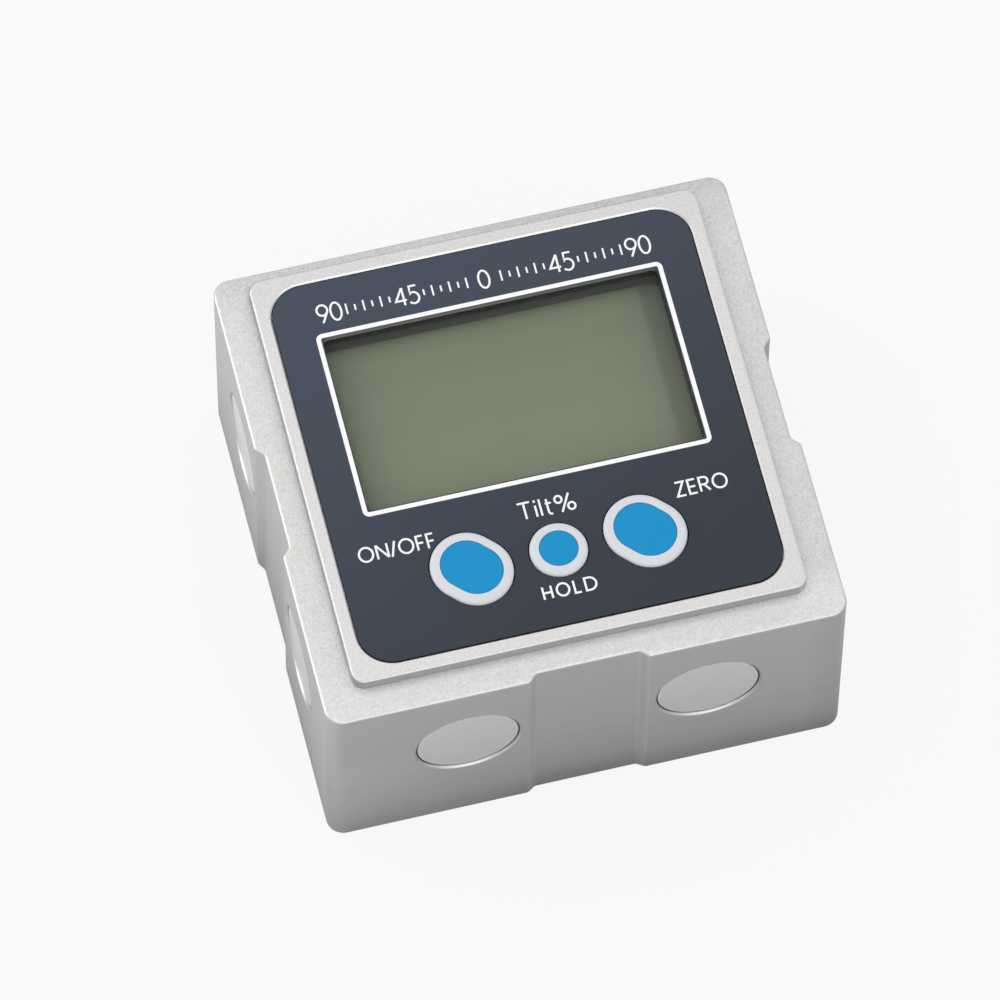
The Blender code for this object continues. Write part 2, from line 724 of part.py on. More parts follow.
def make_contact_strip(materials):
    """The rubber strip that joins the glass's contacts to the board."""
    west, east, south, north = glass_limits()
    start = south + STRIP_MARGIN
    block(
        "contact_strip", west + STRIP_END_MARGIN, east - STRIP_END_MARGIN,
        start, start + STRIP_WIDTH, ON_BOARD, GLASS_TOP - GLASS_THICKNESS - SEAT_GAP,
        materials["rubber_strip"],
    )


def make_support_pad(materials):
    """The foam pad that holds the glass up at its rear edge."""
    west, east, _, north = glass_limits(-PAD_MARGIN)
    block(
        "display_pad", west + PAD_END_MARGIN, east - PAD_END_MARGIN,
        north - PAD_WIDTH, north, ON_BOARD, GLASS_BOTTOM - SEAT_GAP, materials["foam"],
    )


# Keys and switches

def ring(outline, height):
    """An outline as a ring of points at one height."""
    return [(x, y, height) for x, y in outline]


def plunger_top():
    """The top of a switch's plunger, let go."""
    return ON_BOARD + SWITCH_HEIGHT + PLUNGER_REACH


def make_key(key, axis, materials):
    """A key's white body: a stem, a flange that stays under the roof, and a rounded shoulder."""
    top = PANEL_TOP + KEY_PROUD
    neck = key_outline(key)
    rings = [ring(neck, FRAME_TOP - OVERLAP)]
    face = face_outline(key, INLAY_GAP)
    for i in range(SHOULDER_STEPS + 1):
        turn = math.radians(90 * i / SHOULDER_STEPS)
        share = KEY_SHOULDER_SHARE * (1 - math.cos(turn))
        height = top - KEY_SHOULDER_DROP * (1 - math.sin(turn))
        rings.append([
            (x0 + (x1 - x0) * share, y0 + (y1 - y0) * share, height)
            for (x0, y0), (x1, y1) in zip(neck, face)
        ])
    mesh = skinned_mesh(f"{key['name']}_key", rings)
    body = placed(mesh.name, mesh, materials["key_white"])
    flange_low = FRAME_TOP - FLANGE_THICKNESS
    grow = KEY_GAP + SIDE_GAP / 2 + FLANGE_REACH
    flange = prism(f"{key['name']}_flange", key_outline(key, grow), flange_low, FRAME_TOP)
    stem = prism(
        f"{key['name']}_stem", circle(STEM_RADIUS, SMALL_CIRCLE_STEPS),
        plunger_top() + SEAT_GAP, FRAME_TOP - OVERLAP,
    )
    seat = prism(
        f"{key['name']}_inlay_seat", face_outline(key, INLAY_GAP),
        top - INLAY_THICKNESS - INLAY_GAP, top + OVERCUT,
    )
    for helper in (flange, stem, seat):
        helper.parent = axis
    body.parent = axis
    join(body, flange, stem)
    cut(body, seat)


def make_inlay(key, axis, materials):
    """A key's coloured face, slightly domed."""
    top = PANEL_TOP + KEY_PROUD
    face = face_outline(key)
    rings = [ring(face, top - INLAY_THICKNESS), ring(face, top - INLAY_DOME)]
    for i in range(1, DOME_STEPS):
        turn = math.radians(90 * i / DOME_STEPS)
        rings.append([
            (x * math.cos(turn), y * math.cos(turn), top - INLAY_DOME * (1 - math.sin(turn)))
            for x, y in face
        ])
    mesh = skinned_mesh(f"{key['name']}_key_face", rings)
    placed(mesh.name, mesh, materials["key_blue"]).parent = axis


def make_plunger(key, axis, materials):
    """The switch's plunger, which goes down with its key."""
    floor = ON_BOARD + SWITCH_BASE
    outline = circle(PLUNGER_RADIUS, SMALL_CIRCLE_STEPS)
    plunger = prism(
        f"{key['name']}_plunger", outline, floor + KEY_TRAVEL + SEAT_GAP, plunger_top(),
        materials["black_plastic"],
    )
    plunger.parent = axis


def make_switch(key, materials):
    """A square push switch on the board, with four legs and a well for its plunger."""
    half = SWITCH_SIDE / 2
    place = (key["x"], KEY_ROW_Y, 0)
    name = f"{key['name']}_switch"
    outline = rounded_rectangle(-half, half, -half, half, PLUNGER_GAP)
    switch = prism(
        name, outline, ON_BOARD, ON_BOARD + SWITCH_HEIGHT, materials["switch_metal"], place
    )
    reach = half + SWITCH_LEG_REACH
    for index, y in enumerate((-SWITCH_LEG_SPREAD, SWITCH_LEG_SPREAD)):
        leg = prism(
            f"{name}_legs_{index}",
            rectangle(-reach, reach, y - SWITCH_LEG_WIDTH / 2, y + SWITCH_LEG_WIDTH / 2),
            ON_BOARD, ON_BOARD + SWITCH_LEG_THICKNESS, None, place,
        )
        join(switch, leg)
    well = circle(PLUNGER_RADIUS + PLUNGER_GAP, SMALL_CIRCLE_STEPS)
    floor = ON_BOARD + SWITCH_BASE
    top = ON_BOARD + SWITCH_HEIGHT + OVERCUT
    cut(switch, prism(f"{name}_well", well, floor, top, None, place))


def make_keys(materials):
    """Each key with its face and plunger on one axis, and the switch below them."""
    for key in KEYS:
        axis = bpy.data.objects.new(f"{key['name']}_key_axis", None)
        axis.location = (key["x"], KEY_ROW_Y, 0)
        bpy.context.scene.collection.objects.link(axis)
        make_key(key, axis, materials)
        make_inlay(key, axis, materials)
        make_plunger(key, axis, materials)
        make_switch(key, materials)


# Circuit board

def board_limits():
    """West, east, south and north of the circuit board."""
    return (
        BOARD_SIDE_GAP - CAVITY_HALF_WIDTH,
        CAVITY_HALF_WIDTH - BOARD_SIDE_GAP,
        BOARD_FRONT_GAP - CAVITY_HALF_DEPTH,
        CAVITY_HALF_DEPTH - BOARD_REAR_GAP,
    )


def make_board(materials):
    """The circuit board, with screw holes and a slot for each battery terminal's tab."""
    outline = rounded_rectangle(*board_limits(), BOARD_RADIUS)
    board = prism("circuit_board", outline, BOARD_BOTTOM, BOARD_TOP, materials["board_laminate"])
    low = BOARD_BOTTOM - OVERCUT
    high = BOARD_TOP + OVERCUT
    for index, (x, y) in enumerate(post_places()):
        outline = circle(BOARD_SCREW_RADIUS + SCREW_GAP, SMALL_CIRCLE_STEPS)
        cut(board, prism(f"board_hole_{index}", outline, low, high, None, (x, y, 0)))
    x = contact_face()
    for index, y in enumerate((-CELL_CENTER_Y, CELL_CENTER_Y)):
        half = CONTACT_TAB_WIDTH / 2 + SIDE_GAP
        slot = block(
            f"tab_slot_{index}", x - SIDE_GAP, x + CONTACT_THICKNESS + SIDE_GAP,
            y - half, y + half, low, high,
        )
        cut(board, slot)


def make_chip(materials):
    """The controller under the board, with a row of leads on each side."""
    half = CHIP_SIDE / 2
    place = (-CHIP_OFFSET, CHIP_SETBACK - CAVITY_HALF_DEPTH, 0)
    top = UNDER_BOARD
    chip = prism(
        "controller_chip", rectangle(-half, half, -half, half), top - CHIP_HEIGHT, top,
        materials["chip_plastic"], place,
    )
    bevel(chip, CHIP_LEAD_THICKNESS, 1)
    reach = half + CHIP_LEAD_REACH
    pitch = CHIP_SIDE / (CHIP_LEADS + 1)
    middle = top - CHIP_HEIGHT / 2
    for index in range(CHIP_LEADS):
        offset = (index + 1) * pitch - half
        low = offset - CHIP_LEAD_WIDTH / 2
        high = offset + CHIP_LEAD_WIDTH / 2
        for way, outline in (
            ("x", rectangle(-reach, reach, low, high)),
            ("y", rectangle(low, high, -reach, reach)),
        ):
            lead = prism(
                f"lead_{way}_{index}", outline, middle, middle + CHIP_LEAD_THICKNESS, None, place
            )
            join(chip, lead)


def make_small_parts(materials):
    """The tilt sensor and the clock crystal under the board."""
    half_x = SENSOR_WIDTH / 2
    half_y = SENSOR_DEPTH / 2
    prism(
        "tilt_sensor", rectangle(-half_x, half_x, -half_y, half_y),
        UNDER_BOARD - SENSOR_HEIGHT, UNDER_BOARD, materials["chip_plastic"],
    )
    crystal = prism(
        "clock_crystal", stadium(CRYSTAL_RADIUS, CRYSTAL_HALF_SPAN, 0, CIRCLE_STEPS // 4),
        UNDER_BOARD - CRYSTAL_HEIGHT, UNDER_BOARD, materials["switch_metal"],
        (CRYSTAL_OFFSET, CHIP_SETBACK - CAVITY_HALF_DEPTH, 0),
    )
    bevel(crystal, CHIP_LEAD_THICKNESS, 1)


# Screws

def cross_outline():
    """A plus sign."""
    a, b = CROSS_ARM, CROSS_HALF_WIDTH
    return [
        (b, b), (b, a), (-b, a), (-b, b), (-a, b), (-a, -b),
        (-b, -b), (-b, -a), (b, -a), (b, -b), (a, -b), (a, b),
    ]


def screw_mesh(name, profile):
    """A screw that points up, with a cross recess in its head."""
    blank = placed(name, turned_mesh(name, profile, SMALL_CIRCLE_STEPS))
    cut(blank, prism(f"{name}_cross", cross_outline(), -OVERCUT, CROSS_DEPTH))
    return finished_mesh(blank)


def make_board_screws(materials):
    """Four pan-head screws that hold the board to the posts."""
    head = BOARD_SCREW_HEAD
    length = head + SEAT_GAP + BOARD_THICKNESS + SEAT_GAP + BOARD_SCREW_BITE
    radius = BOARD_SCREW_RADIUS
    profile = [
        (BOARD_SCREW_CROWN_RADIUS, 0),
        (BOARD_SCREW_HEAD_RADIUS, head / 3),
        (BOARD_SCREW_HEAD_RADIUS, head),
        (radius, head),
        (radius, length - radius),
        (radius / 2, length),
    ]
    mesh = screw_mesh("board_screw", profile)
    for index, (x, y) in enumerate(post_places()):
        place = (x, y, BOARD_BOTTOM - SEAT_GAP - head)
        placed(f"board_screw_{index + 1}", mesh, materials["steel"], place)


def make_cover_screws(materials):
    """Four countersunk screws that hold the back cover to the columns."""
    radius = COVER_SCREW_RADIUS
    length = COVER_SCREW_END - COVER_SCREW_FACE
    profile = [
        (COVER_SCREW_HEAD_RADIUS, 0),
        (COVER_SCREW_HEAD_RADIUS, COVER_SCREW_LIP),
        (radius, COVER_SCREW_HEAD),
        (radius, length - radius),
        (radius / 2, length),
    ]
    mesh = screw_mesh("cover_screw", profile)
    for index, (x, y) in enumerate(column_places()):
        placed(f"cover_screw_{index + 1}", mesh, materials["steel"], (x, y, COVER_SCREW_FACE))


# Back cover

def make_back_cover(materials):
    """The moulded back: a plate with the battery bay on its inner face."""
    margin = COVER_MARGIN + COVER_GAP
    outline = rounded_rectangle(
        margin - HALF_WIDTH, HALF_WIDTH - margin, margin - HALF_DEPTH, HALF_DEPTH - margin,
        COVER_RADIUS,
    )
    cover = prism("back_cover", outline, COVER_OUTER, COVER_INNER, materials["black_plastic"])
    bevel(cover, PLATFORM_EDGE)
    half_x = BAY_HALF_LENGTH + BAY_WALL
    half_y = BAY_HALF_DEPTH + BAY_WALL
    bay_box = prism(
        "bay_box", rounded_rectangle(-half_x, half_x, -half_y, half_y, BAY_WALL),
        COVER_INNER - OVERLAP, BAY_TOP + BAY_WALL,
    )
    bevel(bay_box, PLATFORM_EDGE, 1)
    join(cover, bay_box)
    low = COVER_OUTER - OVERCUT
    cut(cover, block(
        "bay", -BAY_HALF_LENGTH, BAY_HALF_LENGTH, -BAY_HALF_DEPTH, BAY_HALF_DEPTH, low, BAY_TOP,
    ))
    cut(cover, prism("door_opening", door_outline(0), low, COVER_INNER))
    cut_hook_slots(cover)
    cut_tab_slots(cover)
    cut_screw_seats(cover)
    notch = turned_mesh("notch", [(NOTCH_RADIUS, -NOTCH_DEPTH), (NOTCH_FLOOR_RADIUS, NOTCH_DEPTH)])
    cut(cover, placed("notch", notch, None, (0, door_front(0), COVER_OUTER)))


def door_front(gap):
    """How far forward the door's opening reaches, or the door inside it."""
    return -(BAY_HALF_DEPTH + DOOR_LEDGE - gap)


def door_outline(gap):
    """The battery door's opening, or the door inside it."""
    half_x = BAY_HALF_LENGTH + DOOR_LEDGE - gap
    half_y = BAY_HALF_DEPTH + DOOR_LEDGE - gap
    return rounded_rectangle(-half_x, half_x, -half_y, half_y, DOOR_RADIUS - gap)


def hook_level():
    """The underside of the door's hooks, above the bar that they catch."""
    return COVER_INNER + HOOK_BAR + SEAT_GAP


def cut_hook_slots(cover):
    """Slots in the bay's rear wall for the door's hooks."""
    low = COVER_INNER + HOOK_BAR
    high = hook_level() + HOOK_THICKNESS + HOOK_HEADROOM
    half = HOOK_WIDTH / 2 + SIDE_GAP
    for index, x in enumerate((-HOOK_SPREAD, HOOK_SPREAD)):
        south = BAY_HALF_DEPTH - OVERLAP
        north = BAY_HALF_DEPTH + BAY_WALL + OVERCUT
        cut(cover, block(f"hook_slot_{index}", x - half, x + half, south, north, low, high))


def cut_tab_slots(cover):
    """Slots in the bay's roof for the battery terminals' tabs."""
    x = contact_face()
    half = CONTACT_TAB_WIDTH / 2 + SIDE_GAP
    for index, y in enumerate((-CELL_CENTER_Y, CELL_CENTER_Y)):
        slot = block(
            f"bay_slot_{index}", x - SIDE_GAP, x + CONTACT_THICKNESS + SIDE_GAP / 2,
            y - half, y + half, BAY_TOP - OVERCUT, BAY_TOP + BAY_WALL + OVERCUT,
        )
        cut(cover, slot)


def cut_screw_seats(cover):
    """A countersink and a hole for each cover screw."""
    radius = COVER_SCREW_RADIUS + SCREW_GAP
    head_radius = COVER_SCREW_HEAD_RADIUS + SCREW_GAP
    profile = [
        (head_radius, COVER_OUTER - OVERCUT),
        (head_radius, COVER_SCREW_FACE + COVER_SCREW_LIP),
        (radius, COVER_SCREW_FACE + COVER_SCREW_HEAD),
        (radius, COVER_INNER + OVERCUT),
    ]
    mesh = turned_mesh("screw_seat", profile, SMALL_CIRCLE_STEPS)
    for index, (x, y) in enumerate(column_places()):
        cut(cover, placed(f"screw_seat_{index}", mesh, None, (x, y, 0)))


def make_battery_door(materials):
    """The door: a plate that swings on its rear edge, where two hooks reach into the bay's wall."""
    pivot = Vector((0, BAY_HALF_DEPTH + DOOR_LEDGE, COVER_OUTER))
    inner = COVER_OUTER + DOOR_THICKNESS
    plastic = materials["black_plastic"]
    door = prism("battery_door", door_outline(DOOR_GAP), COVER_OUTER, inner, plastic)
    bevel(door, DOOR_GAP, 1)
    neck_north = BAY_HALF_DEPTH - HOOK_NECK_SETBACK
    tip = BAY_HALF_DEPTH + BAY_WALL + HOOK_OVERREACH
    low = hook_level()
    high = low + HOOK_THICKNESS
    for index, x in enumerate((-HOOK_SPREAD, HOOK_SPREAD)):
        west = x - HOOK_WIDTH / 2
        east = x + HOOK_WIDTH / 2
        neck = block(
            f"neck_{index}", west, east, neck_north - HOOK_NECK, neck_north,
            inner - OVERLAP, high,
        )
        hook = block(f"hook_{index}", west, east, neck_north - OVERLAP, tip, low, high)
        join(door, neck, hook)
    for index in range(GRIP_GROOVES):
        south = door_front(DOOR_GAP) + GRIP_SETBACK + index * GRIP_PITCH
        groove = block(
            f"grip_{index}", -GRIP_LENGTH / 2, GRIP_LENGTH / 2, south, south + GRIP_WIDTH,
            COVER_OUTER - OVERCUT, COVER_OUTER + GRIP_DEPTH,
        )
        cut(door, groove)
    door.data.transform(Matrix.Translation(-pivot))
    door.location = pivot


# Battery parts

def contact_face():
    """The inner face of the terminals at the bay's right end."""
    return BAY_HALF_LENGTH - SEAT_GAP - CONTACT_THICKNESS


def make_cells(materials):
    """Two round cells side by side, pointing opposite ways."""
    length = CELL_LENGTH - CELL_NUB_LENGTH
    profile = [
        (CELL_RADIUS - CELL_EDGE, 0),
        (CELL_RADIUS, CELL_EDGE),
        (CELL_RADIUS, length - CELL_EDGE),
        (CELL_RADIUS - CELL_EDGE, length),
        (CELL_NUB_RADIUS, length),
        (CELL_NUB_RADIUS, CELL_LENGTH),
    ]
    mesh = turned_mesh("cell", profile, CIRCLE_STEPS // 2)
    plus_end = contact_face() - SEAT_GAP
    foot = plus_end - CELL_LENGTH
    turn = math.radians(90)
    jacket = materials["cell_jacket"]
    y = CELL_CENTER_Y
    z = CELL_CENTER_Z
    placed("battery_cell_1", mesh, jacket, (foot, y, z), (0, turn, 0))
    placed("battery_cell_2", mesh, jacket, (-foot, -y, z), (0, -turn, 0))


def make_contacts(materials):
    """The two terminals with their tabs at the right end, and the bridge at the left end."""
    x = contact_face()
    half = CELL_RADIUS - CONTACT_SIDE_MARGIN
    low = CELL_CENTER_Z - CELL_RADIUS + CONTACT_END_MARGIN
    high = CELL_CENTER_Z + CELL_RADIUS - CONTACT_END_MARGIN
    for name, y in (("positive_terminal", CELL_CENTER_Y), ("negative_terminal", -CELL_CENTER_Y)):
        plate = block(
            name, x, x + CONTACT_THICKNESS, y - half, y + half, low, high, materials["nickel_strip"]
        )
        tab = block(
            f"{name}_tab", x, x + CONTACT_THICKNESS, y - CONTACT_TAB_WIDTH / 2,
            y + CONTACT_TAB_WIDTH / 2, CELL_CENTER_Z, BOARD_TOP + CONTACT_TAB_END,
        )
        join(plate, tab)
    reach = CELL_CENTER_Y + half
    block(
        "bridge_contact", -x - CONTACT_THICKNESS, -x, -reach, reach, low, high,
        materials["nickel_strip"],
    )


def make_spring(name, y, base, way, materials):
    """A conical coil spring between a contact and a cell's flat end."""
    foot = base - way * (SEAT_GAP + SPRING_WIRE_RADIUS)
    cell_end = CELL_LENGTH + SEAT_GAP - contact_face()
    length = abs(foot) - (cell_end + SEAT_GAP + SPRING_WIRE_RADIUS)
    base_radius = CELL_RADIUS - SPRING_MARGIN
    tip_radius = base_radius * SPRING_TAPER
    count = round(SPRING_TURNS * COIL_STEPS)
    curve = bpy.data.curves.new(name, "CURVE")
    curve.dimensions = "3D"
    curve.bevel_depth = SPRING_WIRE_RADIUS
    curve.bevel_resolution = 1
    curve.use_fill_caps = True
    line = curve.splines.new("POLY")
    line.points.add(count)
    for i, point in enumerate(line.points):
        share = i / count
        angle = 2 * math.pi * SPRING_TURNS * share
        radius = base_radius + (tip_radius - base_radius) * share
        x = foot - way * length * share
        point.co = (x, y + radius * math.cos(angle), CELL_CENTER_Z + radius * math.sin(angle), 1)
    placed(name, curve, materials["steel"])


def make_springs(materials):
    """A spring at the flat end of each cell."""
    make_spring("battery_spring_1", CELL_CENTER_Y, -contact_face(), -1, materials)
    make_spring("battery_spring_2", -CELL_CENTER_Y, contact_face(), 1, materials)


def main():
    """Builds the whole gauge."""
    clear_scene()
    materials = make_materials()
    make_housing(materials)
    make_magnets(materials)
    make_front_panel(materials)
    make_display_window(materials)
    make_display_frame(materials)
    make_display_glass(materials)
    make_contact_strip(materials)
    make_support_pad(materials)
    make_keys(materials)
    make_board(materials)
    make_chip(materials)
    make_small_parts(materials)
    make_board_screws(materials)
    make_back_cover(materials)
    make_cover_screws(materials)
    make_battery_door(materials)
    make_cells(materials)
    make_contacts(materials)
    make_springs(materials)


main()
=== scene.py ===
"""The digital angle gauge as photographed: fine shapes, print, materials, light and camera."""

import math

import bmesh
import bpy
from mathutils import Matrix, Vector


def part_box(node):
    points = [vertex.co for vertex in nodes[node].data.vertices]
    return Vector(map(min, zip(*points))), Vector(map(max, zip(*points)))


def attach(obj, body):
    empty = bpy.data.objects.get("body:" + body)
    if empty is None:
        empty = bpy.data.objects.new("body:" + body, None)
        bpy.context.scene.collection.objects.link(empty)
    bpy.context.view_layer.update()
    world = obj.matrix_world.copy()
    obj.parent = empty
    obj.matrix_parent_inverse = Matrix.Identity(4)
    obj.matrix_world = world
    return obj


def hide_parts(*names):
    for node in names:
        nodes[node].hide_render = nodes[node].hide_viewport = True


MM = 0.001

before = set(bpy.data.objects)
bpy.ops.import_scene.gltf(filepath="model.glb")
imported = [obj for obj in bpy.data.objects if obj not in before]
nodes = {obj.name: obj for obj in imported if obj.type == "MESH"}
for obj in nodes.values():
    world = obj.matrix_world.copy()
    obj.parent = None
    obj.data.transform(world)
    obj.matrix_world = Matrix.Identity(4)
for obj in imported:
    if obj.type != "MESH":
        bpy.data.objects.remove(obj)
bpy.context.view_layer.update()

_, housing_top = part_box("housing")
panel_low, panel_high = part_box("front_panel")
window_low, window_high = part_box("display_window")
_, glass_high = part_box("display_glass")

# All sizes are in millimetres. A rectangle's limits are west, east, south and north.

# The housing's outside, its platform, and the reliefs in three of its sides. A relief is deeper at the
# top than at the foot, and RELIEF_FLOOR and RELIEF_MOUTH are half its widths.
WIDTH = 60.0
DEPTH = 57.4
RIM = 29.0
TOP = housing_top.z / MM
BODY_CORNER = 2.0
RIM_EDGE = 0.35
PLATFORM = (-26.15, 26.15, -25.1, 26.95)
PLATFORM_CORNER = 1.5
PLATFORM_EDGE = 0.3
PLATFORM_ROOT = 0.4
RELIEF_DEPTH = 0.95
RELIEF_DEPTH_LOW = 0.6
RELIEF_FLOOR = 5.7
RELIEF_MOUTH = 7.05

# The housing's inside: its cavity, the back cover's seat, the corner columns and the board's posts.
ROOF = 27.4
WALL = 3.2
INNER_CORNER = 1.5
COVER_SEAT = 2.5
COVER_LIP = 2.0
COLUMN = 5.4
COLUMN_BITE = 0.4
COLUMN_TOP = COVER_SEAT + 12.5
COLUMN_HOLE_RADIUS = 1.1
COLUMN_HOLE_TOP = 10.3
BOARD_TOP = 20.6
BOARD_GAP = 0.3
POST_X = 20.5
POST_ROWS = (-21.0, 23.3)
POST_RADIUS = 2.0
POST_BITE = 0.4
POST_HOLE_RADIUS = 0.95
POST_HOLE_TOP = 25.2

# How far a cutter runs past the face that it cuts, how near two points are to be joined, and the
# angles in degrees from which an edge is rounded or stays sharp.
PAST = 1.0
JOIN_DISTANCE = 0.0005
ROUNDED_ANGLE = 50
SHARP_ANGLE = 35

# The front panel and its pocket.
PANEL = (panel_low.x / MM, panel_high.x / MM, panel_low.y / MM, panel_high.y / MM)
PANEL_TOP = panel_high.z / MM
PANEL_UNDER = panel_low.z / MM
PANEL_CORNER = 4.0
PANEL_EDGE = 0.08
PANEL_GAP = 0.1
POCKET_FLOOR = PANEL_UNDER - 0.3
POCKET_MOUTH = 0.18

# The display's opening, the hole in the housing under it, and the window on its rebate.
VIEW = (-19.5, 19.5, -4.45, 17.95)
VIEW_CORNER = 0.8
HOLE_GROW = 1.3
REBATE_GROW = 2.8
REBATE_CORNER = 2.0
WINDOW_GAP = 0.3
WINDOW_LEDGE = window_low.z / MM - 0.3

# The keys. Each outline is a radius for the body, one for the coloured face, and half its straight part.
KEY_Y = -14.2
KEY_TOP = PANEL_TOP + 0.5
KEY_PLACES = {"on_off": -10.0, "hold": 0.0, "zero": 10.0}
ROUND_KEY = (3.3, 2.2, 0.0)
LONG_KEY = (4.14, 2.97, 0.68)
KEY_TURN = math.radians(-45)
KEY_DROP = 0.5
KEY_GAP = 0.15
KEY_HOLE_GAP = 0.3
SHOULDER_SHARE = 0.5
FLANGE_TOP = ROOF - 0.3
FLANGE_LOW = FLANGE_TOP - 0.8
FLANGE_GROW = 1.0
FLANGE_BITE = 0.4
STEM_RADIUS = 1.8
FACE_GAP = 0.03
FACE_SEAT = KEY_TOP - 0.83
FACE_LOW = KEY_TOP - 0.8
FACE_SIDE_TOP = KEY_TOP - 0.1
FACE_EDGE_RISE = 0.08
FACE_EDGE_INSET = 0.12

# The magnets in their pockets, and the boss behind each pocket.
POCKET_RADIUS = 6.0
POCKET_DEPTH = 3.1
POCKET_CHAMFER = 0.22
BOSS_WALL = 1.5
BOSS_BACK = 4.0
BOSS_FRONT = 2.8
MAGNET_RADIUS = 5.86
MAGNET_SINK = 0.25
MAGNET_THICKNESS = 2.55
MAGNET_EDGE = 0.08
MAGNET_SPREAD = 13.9
MAGNET_HEIGHT = 17.1

# The battery cells.
CELL_EDGE = 0.5
CELL_NUB_RADIUS = 1.9
CELL_NUB_LENGTH = 1.0
CELL_NUB_EDGE = 0.25

# The print on the panel: the line round the display, and the strokes of the letters.
PRINT_LOW = PANEL_TOP - 0.01
PRINT_HIGH = PANEL_TOP + 0.012
LINE_GROW = 0.4
LINE_WIDTH = 0.53
LINE_CORNER = 0.5
STROKE = 0.238
STROKE_LIFT = 0.002
MITRE_LIMIT = 0.5
SAME_PLACE = 1e-6

# Each word's text, west end, east end, base line and height.
KEY_WORDS = (
    ("ON/OFF", -21.85, -13.25, -10.55, 1.76), ("Tilt%", -3.2, 3.2, -9.6, 2.03),
    ("HOLD", -2.97, 3.1, -19.85, 1.55), ("ZERO", 14.6, 20.45, -10.9, 1.75),
)

# The degree scale over the display.
SCALE_NUMBERS = ("90", "45", "0", "45", "90")
SCALE_MIDDLE = 0.1
SCALE_STEP = 9.0
SCALE_BASE = 19.95
NUMBER_HEIGHT = 2.25
NUMBER_GAP = 0.32
STEPS_PER_NUMBER = 9
STEPS_UNDER_NUMBER = 2
TICK_WIDTH = 0.2
SHORT_TICK = 0.75
LONG_TICK = 1.35

# Colours, in linear light.
BLASTED_METAL = (0.735, 0.722, 0.710)
MILLED_METAL = (0.505, 0.507, 0.512)
NICKEL = (0.80, 0.80, 0.80)
PANEL_BLUE = (0.031, 0.041, 0.062)
# A light grey for the painted highlight on the panel opening's rear cut edge.
PANEL_CUT_HIGHLIGHT = (0.13, 0.14, 0.13)
INK_WHITE = (0.98, 0.98, 0.98)
SHEET_GREY = (0.75, 0.78, 0.74)
DISPLAY_GREEN = (0.181, 0.209, 0.131)
FRAME_BLACK = (0.014, 0.014, 0.0135)
KEY_WHITE = (0.70, 0.72, 0.755)
KEY_BLUE = (0.006, 0.283, 0.590)
MOULDED_BLACK = (0.020, 0.020, 0.022)
MASK_GREEN = (0.012, 0.13, 0.05)
MASK_ON_COPPER = (0.05, 0.24, 0.10)
CELL_DARK = (0.045, 0.055, 0.07)
CELL_LIGHT = (0.52, 0.38, 0.20)
CELL_BARE = (0.62, 0.62, 0.61)
CELL_LIGHT_LENGTH = 12.0

# Painted shade on the housing, as shares of its colour: how much darker its platform's walls are, most
# at their foot and along their rear edge; its rim behind the platform, to the right of it, along its
# foot and all round but in front; its front side towards its foot, in its relief and by its right
# corner; and its top towards the rear. Three are painted highlights instead: how much lighter the front
# and right edges, the pocket's rear lip and the rim before the platform's front wall are. In the
# finishes, what follows a place is in millimetres, and what follows a direction runs from -1 to 1.
WALL_SHADE = 0.28
WALL_FOOT_SHADE = 0.15
WALL_REAR_EDGE_SHADE = 0.45
WALL_EDGE_HIGHLIGHT = 0.35
POCKET_LIP_HIGHLIGHT = 0.85
RIM_FOOT_SHADE = 0.12
RIM_FRONT_LIGHT = 0.20
RIM_BEHIND = 0.11
RIM_BEHIND_CORNERS = 0.05
RIM_RIGHT = 0.06
RIM_ALL = 0.035
SIDE_FOOT_SHADE = 0.16
RELIEF_FOOT_SHADE = 0.08
FRONT_CORNER_SHADE = 0.09
TOP_REAR_SHADE = 0.04

# Painted light on the housing: how much lighter its rim is all over, its front side all over and most at
# middle height towards the left, the slopes at the mouth of its front relief, and its left side low down
# towards its front end.
RIM_LIFT = 0.03
FRONT_LIFT = 0.05
FRONT_MIDDLE = 0.05
FRONT_LEFT = 0.05
RELIEF_MOUTH_LIFT = 0.12
LEFT_NEAR = 0.13

# How strongly the grain shows on the blasted top and on the milled sides, and how deep the bump is.
BLASTED_FINE = 0.46
BLASTED_BROAD = 0.20
MILLED_LINES = 0.14
MILLED_FINE = 0.05
METAL_CLOUD = 0.03
BLASTED_BUMP = 0.02

# Painted shade and light on the display near its edges: painted shade along its rear edge, in a band
# inside its right edge and by its left edge, and painted light over its rear part and towards its front.
DISPLAY_REAR = 0.34
DISPLAY_REAR_EDGE = 0.4
DISPLAY_RIGHT = 0.28
DISPLAY_LEFT = 0.12
DISPLAY_FRONT = 0.15

# The floor: its reach, the bands round the part where its brightness in mirrored rays changes, and how
# bright it is to the camera and in those rays. In mirrored rays it has painted shade near the part and a
# painted glow to its left.
FLOOR_REACH = 900
FLOOR_DROP = 0.02
FLOOR_GREY = (0.72, 0.72, 0.72)
FLOOR_NEAR_BAND = (0.0, 16.0)
FLOOR_FAR_BAND = (60.0, 160.0)
FLOOR_LEFT_BAND = (23.0, 52.0)
FLOOR_LEFT_SLANT = 0.15
FLOOR_NEAR_SHADE = 0.27
FLOOR_LEFT_GLOW = 0.9
FLOOR_LIFT = 0.86

# The white surround's strength as a light, in mirrored rays, and where it is seen.
AMBIENT = 0.85
MIRRORED = 0.95
SEEN = 1.0

# Each lamp's name, place, aim, width, height and power in watts.
LAMPS = (
    ("key_lamp", (-300, 260, 480), (0, 0, 10), 300, 300, 0.35),
    ("front_lamp", (40, -480, 235), (0, 0, 20), 560, 340, 0.5),
    ("left_lamp", (-450, 220, 80), (0, 0, 25), 280, 120, 0.5),
)

